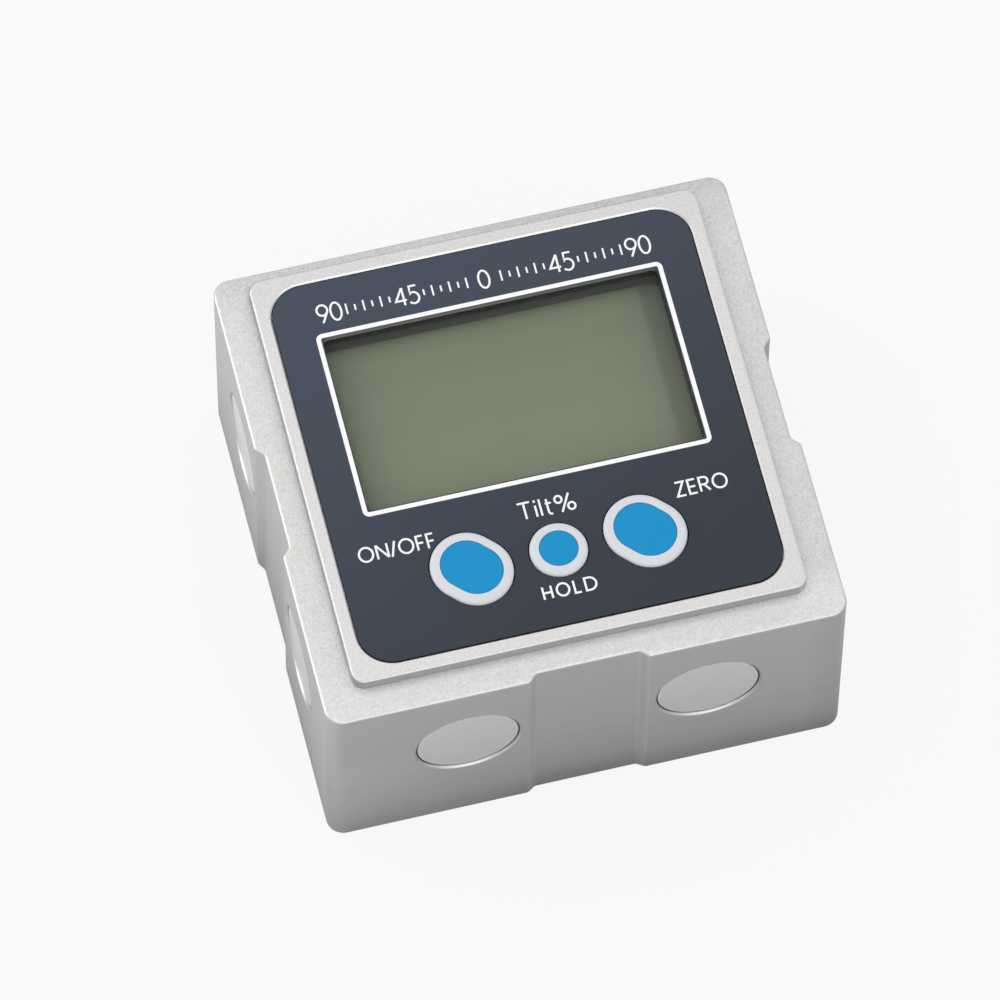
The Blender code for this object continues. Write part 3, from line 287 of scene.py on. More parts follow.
# The camera as fitted to the photograph: azimuth, elevation and roll in degrees, and its place along its
# own right, up and backward directions.
CAMERA_TURN = (-14.588, 63.204, 0.753)
CAMERA_PLACE = (-2.96, 7.029, 1176.335)
CAMERA_LENS = 368.06
CAMERA_SENSOR = 36.0
CAMERA_REACH = (10.0, 10000.0)


# Outlines and solids

def bow(x, y, across, up, start, end, steps=20):
    """Points on part of an ellipse, with both ends."""
    turns = [math.radians(start + (end - start) * i / steps) for i in range(steps + 1)]
    return [(x + across * math.cos(t), y + up * math.sin(t)) for t in turns]


def arc(x, y, radius, start, end, steps):
    """Points on an arc, with both ends."""
    return bow(x, y, radius, radius, start, end, steps)


def grown(limits, grow):
    """Limits of a rectangle that is larger all round."""
    west, east, south, north = limits
    return west - grow, east + grow, south - grow, north + grow


def rounded(limits, radius, steps=10):
    """A rectangle with round corners."""
    west, east, south, north = limits
    points = arc(west + radius, south + radius, radius, 180, 270, steps)
    points += arc(east - radius, south + radius, radius, 270, 360, steps)
    points += arc(east - radius, north - radius, radius, 0, 90, steps)
    points += arc(west + radius, north - radius, radius, 90, 180, steps)
    return points


def quarter_turn(steps):
    """Angles from 0 to 90 degrees."""
    return [math.radians(90 * i / steps) for i in range(steps + 1)]


def circle(radius, steps=64):
    """A circle round the origin."""
    return arc(0, 0, radius, 0, 360, steps)[:-1]


def stadium(radius, half_span, turn, steps=40):
    """Two half circles joined by straight sides, turned by an angle."""
    points = arc(half_span, 0, radius, -90, 90, steps) + arc(-half_span, 0, radius, 90, 270, steps)
    c, s = math.cos(turn), math.sin(turn)
    return [(x * c - y * s, x * s + y * c) for x, y in points]


def body_outline(relief, steps=10):
    """The housing from above, with a relief of that depth in the front, right and left sides."""
    blend = RELIEF_MOUTH - RELIEF_FLOOR
    fall = []
    for i in range(steps + 1):
        t = i / steps
        fall.append((RELIEF_FLOOR + blend * (1 - t), relief * t * t * (3 - 2 * t)))
    rise = fall[::-1]
    half_x, half_y = WIDTH / 2, DEPTH / 2
    x, y = half_x - BODY_CORNER, half_y - BODY_CORNER
    points = arc(-x, -y, BODY_CORNER, 180, 270, steps)
    points += [(-along, depth - half_y) for along, depth in fall]
    points += [(along, depth - half_y) for along, depth in rise]
    points += arc(x, -y, BODY_CORNER, 270, 360, steps)
    points += [(half_x - depth, -along) for along, depth in fall]
    points += [(half_x - depth, along) for along, depth in rise]
    points += arc(x, y, BODY_CORNER, 0, 90, steps)
    points += arc(-x, y, BODY_CORNER, 90, 180, steps)
    points += [(depth - half_x, along) for along, depth in fall]
    points += [(depth - half_x, -along) for along, depth in rise]
    return points


def shape(name, rings):
    """An object over closed rings of points, with its two ends filled."""
    work = bmesh.new()
    rows = [[work.verts.new(Vector(point) * MM) for point in ring] for ring in rings]
    for lower, upper in zip(rows, rows[1:]):
        for i in range(len(lower)):
            j = (i + 1) % len(lower)
            work.faces.new((lower[i], lower[j], upper[j], upper[i]))
    work.faces.new(rows[0][::-1])
    work.faces.new(rows[-1])
    return outward(name, work)


def outward(name, work):
    """A bmesh as an object in the scene, with its faces pointing out."""
    bmesh.ops.recalc_face_normals(work, faces=work.faces)
    mesh = bpy.data.meshes.new(name)
    work.to_mesh(mesh)
    work.free()
    return linked(name, mesh)


def linked(name, mesh):
    """A mesh as an object in the scene."""
    piece = bpy.data.objects.new(name, mesh)
    bpy.context.scene.collection.objects.link(piece)
    return piece


def moved(piece, place=(0, 0, 0), turn=None):
    """Turns and moves a piece's mesh, so that its object stays at the origin."""
    matrix = Matrix.Translation(Vector(place) * MM)
    piece.data.transform(matrix @ turn if turn else matrix)
    return piece


def solid(name, outline, low, high, place=(0, 0, 0), turn=None):
    """An outline raised from one level to another."""
    return moved(shape(name, [[(x, y, z) for x, y in outline] for z in (low, high)]), place, turn)


def turned(name, profile, place=(0, 0, 0), turn=None, steps=64):
    """A profile of (radius, height) turned round Z."""
    rings = [[(x, y, z) for x, y in circle(r, steps)] for r, z in profile]
    return moved(shape(name, rings), place, turn)


def combine(piece, others, operation):
    """Joins other shapes to a piece, or cuts them out of it."""
    for other in others:
        other.hide_render = True
        step = piece.modifiers.new(other.name, "BOOLEAN")
        step.operation = operation
        step.solver = "EXACT"
        step.object = other


def round_edges(piece, width, segments=4):
    """Rounds the sharp edges that a piece has so far."""
    step = piece.modifiers.new("edge", "BEVEL")
    step.width = width * MM
    step.segments = segments
    step.limit_method = "ANGLE"
    step.angle_limit = math.radians(ROUNDED_ANGLE)
    step.use_clamp_overlap = False


def evaluated(piece):
    """The mesh that a piece's modifiers give. The modifiers and their helper shapes are removed."""
    graph = bpy.context.evaluated_depsgraph_get()
    graph.update()
    mesh = bpy.data.meshes.new_from_object(piece.evaluated_get(graph))
    helpers = {step.object for step in piece.modifiers if step.type == "BOOLEAN"}
    piece.modifiers.clear()
    piece.data = mesh
    for helper in helpers:
        bpy.data.objects.remove(helper, do_unlink=True)
    return mesh


def finished(piece, material, body, replaced=()):
    """Applies a piece's modifiers, smooths its curves, and hands it to the CAD body it rides on."""
    mesh = evaluated(piece)
    work = bmesh.new()
    work.from_mesh(mesh)
    bmesh.ops.remove_doubles(work, verts=work.verts, dist=JOIN_DISTANCE * MM)
    bmesh.ops.dissolve_degenerate(work, edges=work.edges, dist=JOIN_DISTANCE * MM)
    work.to_mesh(mesh)
    work.free()
    mesh.shade_smooth()
    mesh.set_sharp_from_angle(angle=math.radians(SHARP_ANGLE))
    step = piece.modifiers.new("normals", "WEIGHTED_NORMAL")
    step.keep_sharp = True
    step.weight = 90
    mesh = evaluated(piece)
    mesh.materials.clear()
    mesh.materials.append(material)
    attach(piece, body)
    if replaced:
        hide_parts(*replaced)


# Shader writing

class Field:
    """A number that changes over a surface. Arithmetic on it adds Math nodes."""

    def __init__(self, paint, socket):
        self.paint = paint
        self.socket = socket

    def math(self, operation, *values):
        """A Math node on this number and others."""
        return self.paint.number(
            "ShaderNodeMath", {"operation": operation}, dict(enumerate((self, *values)))
        )

    def __add__(self, other):
        return self.math("ADD", other)

    def __sub__(self, other):
        return self.math("SUBTRACT", other)

    def __mul__(self, other):
        return self.math("MULTIPLY", other)

    def __rsub__(self, other):
        return (self * -1).math("ADD", other)

    __radd__ = __add__
    __rmul__ = __mul__

    def step(self, low, high):
        """Rises smoothly from 0 to 1 between two values."""
        return self.paint.number(
            "ShaderNodeMapRange", {"interpolation_type": "SMOOTHSTEP"},
            {"Value": self, "From Min": low, "From Max": high},
        )

    def fall(self, low, high):
        """Falls smoothly from 1 to 0 between two values."""
        return 1 - self.step(low, high)


def feed(tree, socket, value):
    """Links a socket to another, or sets its value."""
    if isinstance(value, Field):
        value = value.socket
    if isinstance(value, bpy.types.NodeSocket):
        tree.links.new(value, socket)
    elif isinstance(value, tuple) and len(value) == 3 and socket.type == "RGBA":
        socket.default_value = (*value, 1.0)
    else:
        socket.default_value = value


def add_node(tree, kind, settings=None, values=None):
    """Adds a node: its settings first, then the values or links of its sockets."""
    made = tree.nodes.new(kind)
    for key, value in (settings or {}).items():
        setattr(made, key, value)
    for key, value in (values or {}).items():
        feed(tree, made.inputs[key], value)
    return made


class Paint:
    """One node-based material."""

    def __init__(self, name, **constants):
        self.material = bpy.data.materials.new(name)
        self.material.use_nodes = True
        self.tree = self.material.node_tree
        self.shader = self.tree.nodes["Principled BSDF"]
        self.output = self.tree.nodes["Material Output"]
        place = self.node("ShaderNodeTexCoord").outputs["Object"]
        scale = self.node(
            "ShaderNodeVectorMath", {"operation": "SCALE"}, {"Vector": place, "Scale": 1 / MM}
        )
        self.place = scale.outputs["Vector"]
        for key, value in constants.items():
            socket = key.replace("_", " ").title().replace("Ior", "IOR")
            self.shader.inputs[socket].default_value = value

    def node(self, kind, settings=None, values=None):
        """Adds a node to the material."""
        return add_node(self.tree, kind, settings, values)

    def feed(self, socket, value):
        """Links one of the material's sockets to another, or sets its value."""
        feed(self.tree, socket, value)

    def number(self, kind, settings=None, values=None, output=0):
        """A node's output as a number."""
        return Field(self, self.node(kind, settings, values).outputs[output])

    def axis(self, letter):
        """One coordinate of the surface, in millimetres."""
        return self.number("ShaderNodeSeparateXYZ", None, {0: self.place}, letter)

    def facing(self, letter):
        """One coordinate of the surface's direction."""
        normal = self.node("ShaderNodeNewGeometry").outputs["Normal"]
        return self.number("ShaderNodeSeparateXYZ", None, {0: normal}, letter)

    def stretched(self, x, y, z):
        """The surface's place with each axis scaled."""
        return self.node(
            "ShaderNodeMapping", None, {"Vector": self.place, "Scale": (x, y, z)}
        ).outputs[0]

    def noise(self, size, detail=2.0, rough=0.5, place=None):
        """Soft noise from 0 to 1, with grains of about that size in millimetres."""
        return self.number(
            "ShaderNodeTexNoise", {"noise_dimensions": "3D"},
            {"Vector": place or self.place, "Scale": 1 / size, "Detail": detail, "Roughness": rough},
        )

    def mixed(self, share, first, second):
        """A colour between two others."""
        made = self.node("ShaderNodeMix", {"data_type": "RGBA"})
        self.feed(made.inputs["Factor"], share)
        self.feed(made.inputs[6], first)
        self.feed(made.inputs[7], second)
        return made.outputs[2]

    def blend(self, share, first, second):
        """A shader between two others."""
        return self.node("ShaderNodeMixShader", None, {0: share, 1: first, 2: second}).outputs[0]

    def toned(self, color, tone):
        """A colour made lighter or darker by a number round 1."""
        return self.node(
            "ShaderNodeVectorMath", {"operation": "SCALE"}, {"Vector": color, "Scale": tone}
        ).outputs["Vector"]

    def grain(self, height, distance):
        """Fine relief on the surface; distance is in millimetres."""
        bump = self.node("ShaderNodeBump", None, {"Height": height, "Distance": distance * MM})
        self.feed(self.shader.inputs["Normal"], bump.outputs["Normal"])

    def color(self, value):
        self.feed(self.shader.inputs["Base Color"], value)

    def rough(self, value):
        self.feed(self.shader.inputs["Roughness"], value)


def past_platform(p):
    """How far a place lies outside the platform's outline, and less than nothing inside it."""
    east, south, north = PLATFORM[1:]
    beside = p.axis("X").math("ABSOLUTE") - east
    return beside.math("MAXIMUM", p.axis("Y") - north).math("MAXIMUM", south - p.axis("Y"))


def wall_shade(p, top):
    """How much painted shade darkens the platform's walls, most at their foot and on their rear edge;
    the right wall has none, and painted highlights lighten its edge, the front edges and the pocket's
    rear lip.
    """
    away = past_platform(p)
    forward = p.facing("Y") * -1
    rightward = p.facing("X").step(0.1, 0.5)
    # Painted shade at the walls' foot and along the platform's rear edge.
    foot = p.axis("Z").fall(RIM + 0.1, RIM + 0.5)
    rear_edge = p.facing("Y").step(0.2, 0.5) * p.facing("Z").step(0.2, 0.45)
    # Painted highlights on the pocket's rear lip and on the platform's front and right edges.
    lip = forward.step(0.3, 0.7) * away.fall(-1.2, -0.8)
    lit = forward.math("MAXIMUM", p.facing("X")).step(0.2, 0.5)
    edge_highlight = lit * p.facing("Z").step(0.25, 0.6) * away.step(-0.6, -0.4)
    shade = WALL_SHADE + foot * WALL_FOOT_SHADE + rear_edge * WALL_REAR_EDGE_SHADE - edge_highlight * WALL_EDGE_HIGHLIGHT
    return shade - rightward * (WALL_SHADE + top * 0.5) - lip * POCKET_LIP_HIGHLIGHT


def rim_shade(p):
    """How much painted shade darkens the rim: behind the platform, to the right, along the platform's
    foot and all round but in front; the whole rim is painted a little lighter, and more so before the
    platform's front wall.
    """
    east, south = PLATFORM[1:3]
    beside = p.axis("X").math("ABSOLUTE")
    away = past_platform(p)
    front = (south - p.axis("Y")).step(-4.0, 0.2)
    across = beside.fall(east - 2.0, east + 1.5)
    foot = away.fall(0.0, 0.35) * (1 - front) * RIM_FOOT_SHADE
    front_foot = away.fall(0.0, 2.3) * front * across * RIM_FRONT_LIGHT
    behind = p.axis("Y").step(25.4, 27.6) * (RIM_BEHIND - beside.step(20.0, 30.0) * RIM_BEHIND_CORNERS)
    right = p.axis("X").step(-12.0, 30.0) * RIM_RIGHT
    return foot - front_foot + (1 - front) * (behind + right + RIM_ALL) - RIM_LIFT


def front_painted_shading(p):
    """How much painted light and shade change the front side: lighter all over and most at middle height
    towards the left, darker towards its foot, in its relief and by its right corner.
    """
    height, along = p.axis("Z"), p.axis("X")
    left = FRONT_MIDDLE + along.fall(-26.0, -4.0) * FRONT_LEFT
    middle = height.step(0.0, 6.0) * height.fall(12.0, 22.0) * left
    relief = along.math("ABSOLUTE").fall(6.0, 11.0) * RELIEF_FOOT_SHADE
    low = height.fall(0.0, 6.0) * (along.step(-28.0, -6.0) * SIDE_FOOT_SHADE + relief)
    return FRONT_LIFT + middle - low - along.step(24.5, 28.5) * FRONT_CORNER_SHADE


def side_painted_shading(p):
    """How much lighter or darker the milled sides are painted: painted light on the slopes at the front
    relief's mouth and low on the left side towards its front end, and the front side's painted light and
    shade.
    """
    near_relief = p.axis("X").math("ABSOLUTE").fall(7.5, 9.0)
    mouth = p.facing("X").math("ABSOLUTE").step(0.05, 0.4) * near_relief
    forward = (p.facing("Y") * -1).step(0.5, 0.9)
    leftward = (p.facing("X") * -1).step(0.5, 0.9)
    near = p.axis("Z").fall(2.0, 16.0) * p.axis("Y").fall(-27.0, -8.0)
    return mouth * RELIEF_MOUTH_LIFT + forward * front_painted_shading(p) + leftward * near * LEFT_NEAR


def housing_finish_and_painted_shading():
    """Blasted alloy on top, finely milled sides, with painted shade and painted highlights on the rim,
    the platform's walls, the sides and the top.
    """
    p = Paint("blasted_alloy", metallic=1.0)
    top = p.facing("Z").math("ABSOLUTE").step(0.55, 0.9)
    fine = p.noise(0.17, 1.0)
    broad = p.noise(0.45, 2.0)
    cloud = p.noise(9.0, 2.0)
    lines = p.noise(1.0, 2.0, 0.6, p.stretched(0.08, 0.08, 3.5))
    blasted = (fine - 0.5) * BLASTED_FINE + (broad - 0.5) * BLASTED_BROAD
    milled = (lines - 0.5) * MILLED_LINES + (fine - 0.5) * MILLED_FINE
    raised = p.axis("Z").step(RIM, RIM + 0.04)
    # Painted shade: the top darker towards the rear.
    rear = p.axis("Y").step(20.0, 27.0) * top * TOP_REAR_SHADE
    tone = 1 + blasted * top + milled * (1 - top) + (cloud - 0.5) * METAL_CLOUD - rear
    # Painted shade and highlights on the platform's walls, and painted light and shade on the rim and
    # sides.
    tone = tone - raised * (1 - top) * wall_shade(p, top)
    tone = tone + (1 - raised) * ((1 - top) * side_painted_shading(p) - top * rim_shade(p))
    p.color(p.toned(p.mixed(top, MILLED_METAL, BLASTED_METAL), tone))
    p.rough(0.42 + top * 0.10 + (broad - 0.5) * 0.06)
    p.grain((fine + broad) * top, BLASTED_BUMP)
    return p.material


def magnet_finish():
    """Satin nickel plating."""
    p = Paint("nickel_plating", metallic=1.0)
    cloud = p.noise(1.5, 3.0)
    p.color(p.toned(NICKEL, 1 + (cloud - 0.5) * 0.05))
    p.rough(0.30 + cloud * 0.10)
    return p.material


def panel_finish_and_painted_sheen():
    """A glossy dark blue-grey print, with a painted sheen that lightens it towards the rear and left,
    and a painted highlight on the opening's cut edge at the rear.
    """
    p = Paint("panel_ink", specular_ior_level=0.35)
    cloud = p.noise(12.0, 2.0)
    fine = p.noise(0.3, 2.0)
    # Painted sheen, lighter towards the rear and the left.
    sheen = (p.axis("Y") - p.axis("X") * 0.5).step(-32.0, 34.0)
    # Painted highlight: the opening's cut edge at the rear in a light grey.
    cut_edge_highlight = (p.facing("Y") * -1).step(0.6, 0.9) * p.axis("Y").step(VIEW[3] - 1, VIEW[3] - 0.5)
    tone = 0.72 + sheen * 0.75 + (cloud - 0.5) * 0.08 + (fine - 0.5) * 0.05
    p.color(p.toned(p.mixed(cut_edge_highlight, PANEL_BLUE, PANEL_CUT_HIGHLIGHT), tone))
    p.rough(0.26 + fine * 0.06)
    return p.material


def white_print_finish():
    """White screen print."""
    p = Paint("white_ink")
    fine = p.noise(0.2, 2.0)
    p.color(p.toned(INK_WHITE, 1 + (fine - 0.5) * 0.03))
    p.rough(0.38 + fine * 0.10)
    return p.material


def window_finish():
    """A clear sheet that only adds a soft sheen."""
    p = Paint("clear_sheet", alpha=0.03)
    cloud = p.noise(14.0, 1.0)
    p.color(p.toned(SHEET_GREY, 1 + (cloud - 0.5) * 0.05))
    p.rough(0.10 + cloud * 0.04)
    return p.material


def display_finish_and_painted_shading():
    """A blank grey-green reflective display, with the frame's shadow painted towards its rear, right and
    left edges, and painted light over its rear part and towards its front.
    """
    p = Paint("display_film", specular_ior_level=0.3)
    fine = p.noise(0.12, 1.0)
    cloud = p.noise(16.0, 1.0)
    west, east, _, north = VIEW
    # Painted light over the rear part, and painted shade at the rear edge.
    rear = p.axis("Y").step(north - 4.5, north - 0.8) * DISPLAY_REAR
    rear_edge = p.axis("Y").step(north - 0.7, north + 0.4) * DISPLAY_REAR_EDGE
    front = (p.axis("Y") * -1).step(-9.0, 3.0)
    # Painted shade by the right and left edges, and painted light towards the front.
    right = p.axis("X").step(east - 2.7, east - 1.7)
    left = (p.axis("X") * -1).step(-west - 1.8, -west)
    sides = right * DISPLAY_RIGHT + left * DISPLAY_LEFT - front * DISPLAY_FRONT
    tone = 1 + (fine - 0.5) * 0.03 + (cloud - 0.5) * 0.05 - sides
    p.color(p.toned(DISPLAY_GREEN, tone * (1 + rear - rear_edge)))
    p.rough(0.35 + fine * 0.08)
    return p.material


def frame_finish_and_painted_shading():
    """The display frame's black plastic, with painted shade: darker up towards the opening and lighter
    down towards the display.
    """
    p = Paint("frame_plastic")
    cloud = p.noise(1.0, 3.0)
    display = glass_high.z / MM
    tone = 0.6 + p.axis("Z").fall(display - 0.5, display + 2.6) * 1.4 + (cloud - 0.5) * 0.08
    p.color(p.toned(FRAME_BLACK, tone))
    p.rough(0.65 + (cloud - 0.5) * 0.12)
    return p.material


def key_finish(name, color, rough):
    """Satin moulded plastic."""
    p = Paint(name, specular_ior_level=0.2)
    fine = p.noise(0.15, 2.0)
    cloud = p.noise(2.5, 2.0)
    p.color(p.toned(color, 1 + (cloud - 0.5) * 0.04 + (fine - 0.5) * 0.02))
    p.rough(rough + fine * 0.08)
    p.grain(fine, 0.004)
    return p.material


def textured_plastic():
    """Black plastic from a spark-eroded mould."""
    p = Paint("textured_plastic", specular_ior_level=0.2)
    pits = p.noise(0.35, 3.0, 0.6)
    p.color(p.toned(MOULDED_BLACK, 0.8 + pits * 0.4))
    p.rough(0.6 + pits * 0.12)
    p.grain(pits, 0.006)
    return p.material


def board_finish():
    """Green solder mask over copper tracks."""
    p = Paint("solder_mask", coat_weight=0.3, coat_roughness=0.2)
    lines = p.number(
        "ShaderNodeTexVoronoi", {"feature": "DISTANCE_TO_EDGE", "distance": "MANHATTAN"},
        {"Vector": p.place, "Scale": 0.4}, "Distance",
    )
    off_track = lines.step(0.05, 0.09)
    p.color(p.mixed(off_track, MASK_ON_COPPER, MASK_GREEN))
    p.rough(0.35 + p.noise(1.0) * 0.1)
    return p.material


def plain_finish(name, color, rough, metallic=0.0, size=1.0, spread=0.08):
    """One colour with a little unevenness."""
    p = Paint(name, metallic=metallic)
    cloud = p.noise(size, 3.0)
    p.color(p.toned(color, 1 + (cloud - 0.5) * spread))
    p.rough(rough + (cloud - 0.5) * 0.12)
    return p.material


def cell_finish():
    """A cell's film, light towards its plus end, and its bare ends. The two lie opposite ways."""
    p = Paint("cell_film")
    along = p.axis("X") * p.axis("Y").math("SIGN")
    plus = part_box("battery_cell_1")[1].x / MM - CELL_NUB_LENGTH
    light = along.step(plus - CELL_LIGHT_LENGTH, plus - CELL_LIGHT_LENGTH + 0.1)
    bare = p.facing("X").math("ABSOLUTE").step(0.6, 0.8).math("MAXIMUM", along.step(plus, plus + 0.05))
    cloud = p.noise(2.0)
    film = p.mixed(light, CELL_DARK, CELL_LIGHT)
    p.color(p.toned(p.mixed(bare, film, CELL_BARE), 0.96 + cloud * 0.08))
    p.feed(p.shader.inputs["Metallic"], 0.35 + bare * 0.65)
    p.rough(0.28 + cloud * 0.08)
    return p.material


# The finish of each material slot in the CAD.
FINISHES = {
    "housing_metal": housing_finish_and_painted_shading(),
    "magnet_plating": magnet_finish(),
    "panel_print": panel_finish_and_painted_sheen(),
    "clear_window": window_finish(),
    "display_glass": display_finish_and_painted_shading(),
    "key_white": key_finish("white_key_plastic", KEY_WHITE, 0.32),
    "key_blue": key_finish("blue_key_plastic", KEY_BLUE, 0.42),
    "black_plastic": textured_plastic(),
    "board_laminate": board_finish(),
    "chip_plastic": plain_finish("chip_mould", (0.02, 0.02, 0.022), 0.5, size=0.3),
    "switch_metal": plain_finish("switch_can", (0.62, 0.62, 0.61), 0.35, metallic=1.0),
    "steel": plain_finish("zinc_steel", (0.55, 0.55, 0.56), 0.33, metallic=1.0),
    "nickel_strip": plain_finish("nickel_strip_metal", (0.62, 0.59, 0.54), 0.32, metallic=1.0),
    "rubber_strip": plain_finish("strip_rubber", (0.30, 0.30, 0.30), 0.75, size=0.5),
    "foam": plain_finish("cell_foam", (0.05, 0.05, 0.05), 0.9, size=0.3, spread=0.6),
    "cell_jacket": cell_finish(),
}
WHITE_INK = white_print_finish()
FRAME_PLASTIC = frame_finish_and_painted_shading()


# Pieces

def magnet_seats():
    """The middle of each magnet's seat on its pad's face, and the turn that points Z out of it."""
    front = Matrix.Rotation(math.radians(90), 4, "X")
    right = Matrix.Rotation(math.radians(90), 4, "Y")
    left = Matrix.Rotation(math.radians(-90), 4, "Y")
    seats = [((x, -DEPTH / 2, MAGNET_HEIGHT), front) for x in (-MAGNET_SPREAD, MAGNET_SPREAD)]
    seats += [((-WIDTH / 2, y, MAGNET_HEIGHT), left) for y in (-MAGNET_SPREAD, MAGNET_SPREAD)]
    seats += [((WIDTH / 2, y, MAGNET_HEIGHT), right) for y in (-MAGNET_SPREAD, MAGNET_SPREAD)]
    return seats


def key_outline(name, grow=0.0, face=False):
    """The outline of a key's white body, or of its coloured face."""
    radius, face_radius, half_span = ROUND_KEY if name == "hold" else LONG_KEY
    return stadium((face_radius if face else radius) + grow, half_span, KEY_TURN)


def inner_half():
    """Half the cavity's size along X and along Y."""
    return WIDTH / 2 - WALL, DEPTH / 2 - WALL


def post_axes():
    """The axes of the four posts that carry the circuit board."""
    return [(side * POST_X, row) for side in (-1, 1) for row in POST_ROWS]


def housing_inner_parts():
    """What stands inside the tub: bosses behind the magnets, corner columns and board posts."""
    parts = []
    boss = circle(POCKET_RADIUS + BOSS_WALL)
    for place, turn in magnet_seats():
        parts.append(solid("boss", boss, -BOSS_BACK, -BOSS_FRONT, place, turn))
    x, y = inner_half()
    half = (COLUMN + COLUMN_BITE) / 2
    out_x, out_y = x - half + COLUMN_BITE, y - half + COLUMN_BITE
    for cx, cy in [(sx * out_x, sy * out_y) for sx in (-1, 1) for sy in (-1, 1)]:
        square = rounded((cx - half, cx + half, cy - half, cy + half), INNER_CORNER)
        parts.append(solid("column", square, COVER_SEAT, COLUMN_TOP))
    post_low, post_high = BOARD_TOP + BOARD_GAP, ROOF + POST_BITE
    for px, py in post_axes():
        parts.append(solid("post", circle(POST_RADIUS, 32), post_low, post_high, (px, py, 0)))
    return parts


def panel_pocket():
    """The cutter of the panel's pocket, with its chamfered mouth."""
    steps = [
        (PANEL_GAP, POCKET_FLOOR), (PANEL_GAP, TOP - POCKET_MOUTH),
        (PANEL_GAP + POCKET_MOUTH, TOP), (PANEL_GAP + POCKET_MOUTH, TOP + PAST),
    ]
    return shape("pocket", [
        [(px, py, z) for px, py in rounded(grown(PANEL, grow), PANEL_CORNER + grow, 16)]
        for grow, z in steps
    ])


def housing_openings():
    """The cutters of the tub's top: the pocket, the window's rebate and the holes."""
    rebate = rounded(grown(VIEW, REBATE_GROW), REBATE_CORNER)
    hole = rounded(grown(VIEW, HOLE_GROW), VIEW_CORNER + HOLE_GROW)
    cutters = [
        panel_pocket(), solid("rebate", rebate, WINDOW_LEDGE, TOP + PAST),
        solid("display_hole", hole, ROOF - PAST, TOP + PAST),
    ]
    for name, x in KEY_PLACES.items():
        hole = key_outline(name, KEY_HOLE_GAP)
        cutters.append(solid("key_hole", hole, ROOF - PAST, TOP + PAST, (x, KEY_Y, 0)))
    return cutters


def housing_sockets():
    """The cutters of the cover's seat, the magnets' pockets and the screw holes."""
    seat = grown((-WIDTH / 2, WIDTH / 2, -DEPTH / 2, DEPTH / 2), -COVER_LIP)
    cutters = [solid("cover_seat", rounded(seat, INNER_CORNER), -PAST, COVER_SEAT)]
    profile = [
        (POCKET_RADIUS, -POCKET_DEPTH), (POCKET_RADIUS, -POCKET_CHAMFER),
        (POCKET_RADIUS + POCKET_CHAMFER, 0), (POCKET_RADIUS + POCKET_CHAMFER, PAST),
    ]
    for place, turn in magnet_seats():
        cutters.append(turned("magnet_pocket", profile, place, turn, 96))
    for x, y in column_axes():
        hole = circle(COLUMN_HOLE_RADIUS, 24)
        cutters.append(solid("column_hole", hole, -PAST, COLUMN_HOLE_TOP, (x, y, 0)))
    for x, y in post_axes():
        hole = circle(POST_HOLE_RADIUS, 24)
        cutters.append(solid("post_hole", hole, BOARD_TOP - PAST, POST_HOLE_TOP, (x, y, 0)))
    return cutters


def make_housing():
    """The tub with its platform, seats, pockets, columns and posts."""
    body = shape("housing_tub", [
        [(px, py, z) for px, py in body_outline(relief)]
        for relief, z in ((RELIEF_DEPTH_LOW, 0), (RELIEF_DEPTH, RIM))
    ])
    round_edges(body, RIM_EDGE)
    platform = solid("platform", rounded(PLATFORM, PLATFORM_CORNER), RIM - PLATFORM_ROOT, TOP)
    round_edges(platform, PLATFORM_EDGE)
    combine(body, [platform], "UNION")
    x, y = inner_half()
    combine(body, [solid("cavity", rounded((-x, x, -y, y), INNER_CORNER), -PAST, ROOF)], "DIFFERENCE")
    combine(body, housing_inner_parts(), "UNION")
    combine(body, housing_openings() + housing_sockets(), "DIFFERENCE")
    finished(body, FINISHES["housing_metal"], "root", ["housing"])


def column_axes():
    """The axes of the four cover screws."""
    x, y = (half - COLUMN / 2 for half in inner_half())
    return [(-x, -y), (x, -y), (x, y), (-x, y)]


def make_magnets():
    """Each plated disc, with a fine rounded edge."""
    low = -MAGNET_SINK - MAGNET_THICKNESS
    high = -MAGNET_SINK
    profile = [(MAGNET_RADIUS, low)]
    profile += arc(MAGNET_RADIUS - MAGNET_EDGE, high - MAGNET_EDGE, MAGNET_EDGE, 0, 90, 4)
    names = ["front_left", "front_right", "left_front", "left_rear", "right_front", "right_rear"]
    for name, (place, turn) in zip(names, magnet_seats()):
        disc = turned(f"{name}_disc", profile, place, turn, 96)
        plating = FINISHES["magnet_plating"]
        finished(disc, plating, "root", [f"{name}_magnet"])


def make_panel():
    """The printed plate with its opening and key holes."""
    plate = solid("panel_plate", rounded(PANEL, PANEL_CORNER, 16), PANEL_UNDER, PANEL_TOP)
    round_edges(plate, PANEL_EDGE, 2)
    low, high = PANEL_UNDER - PAST, PANEL_TOP + PAST
    cut = [solid("opening", rounded(VIEW, VIEW_CORNER), low, high)]
    for name, x in KEY_PLACES.items():
        cut.append(solid("hole", key_outline(name, KEY_GAP), low, high, (x, KEY_Y, 0)))
    combine(plate, cut, "DIFFERENCE")
    finished(plate, FINISHES["panel_print"], "root", ["front_panel"])


def make_window():
    """The clear plate under the panel's opening."""
    outline = rounded(grown(VIEW, REBATE_GROW - WINDOW_GAP), REBATE_CORNER - WINDOW_GAP)
    plate = solid("window_sheet", outline, window_low.z / MM, window_high.z / MM)
    finished(plate, FINISHES["clear_window"], "root", ["display_window"])


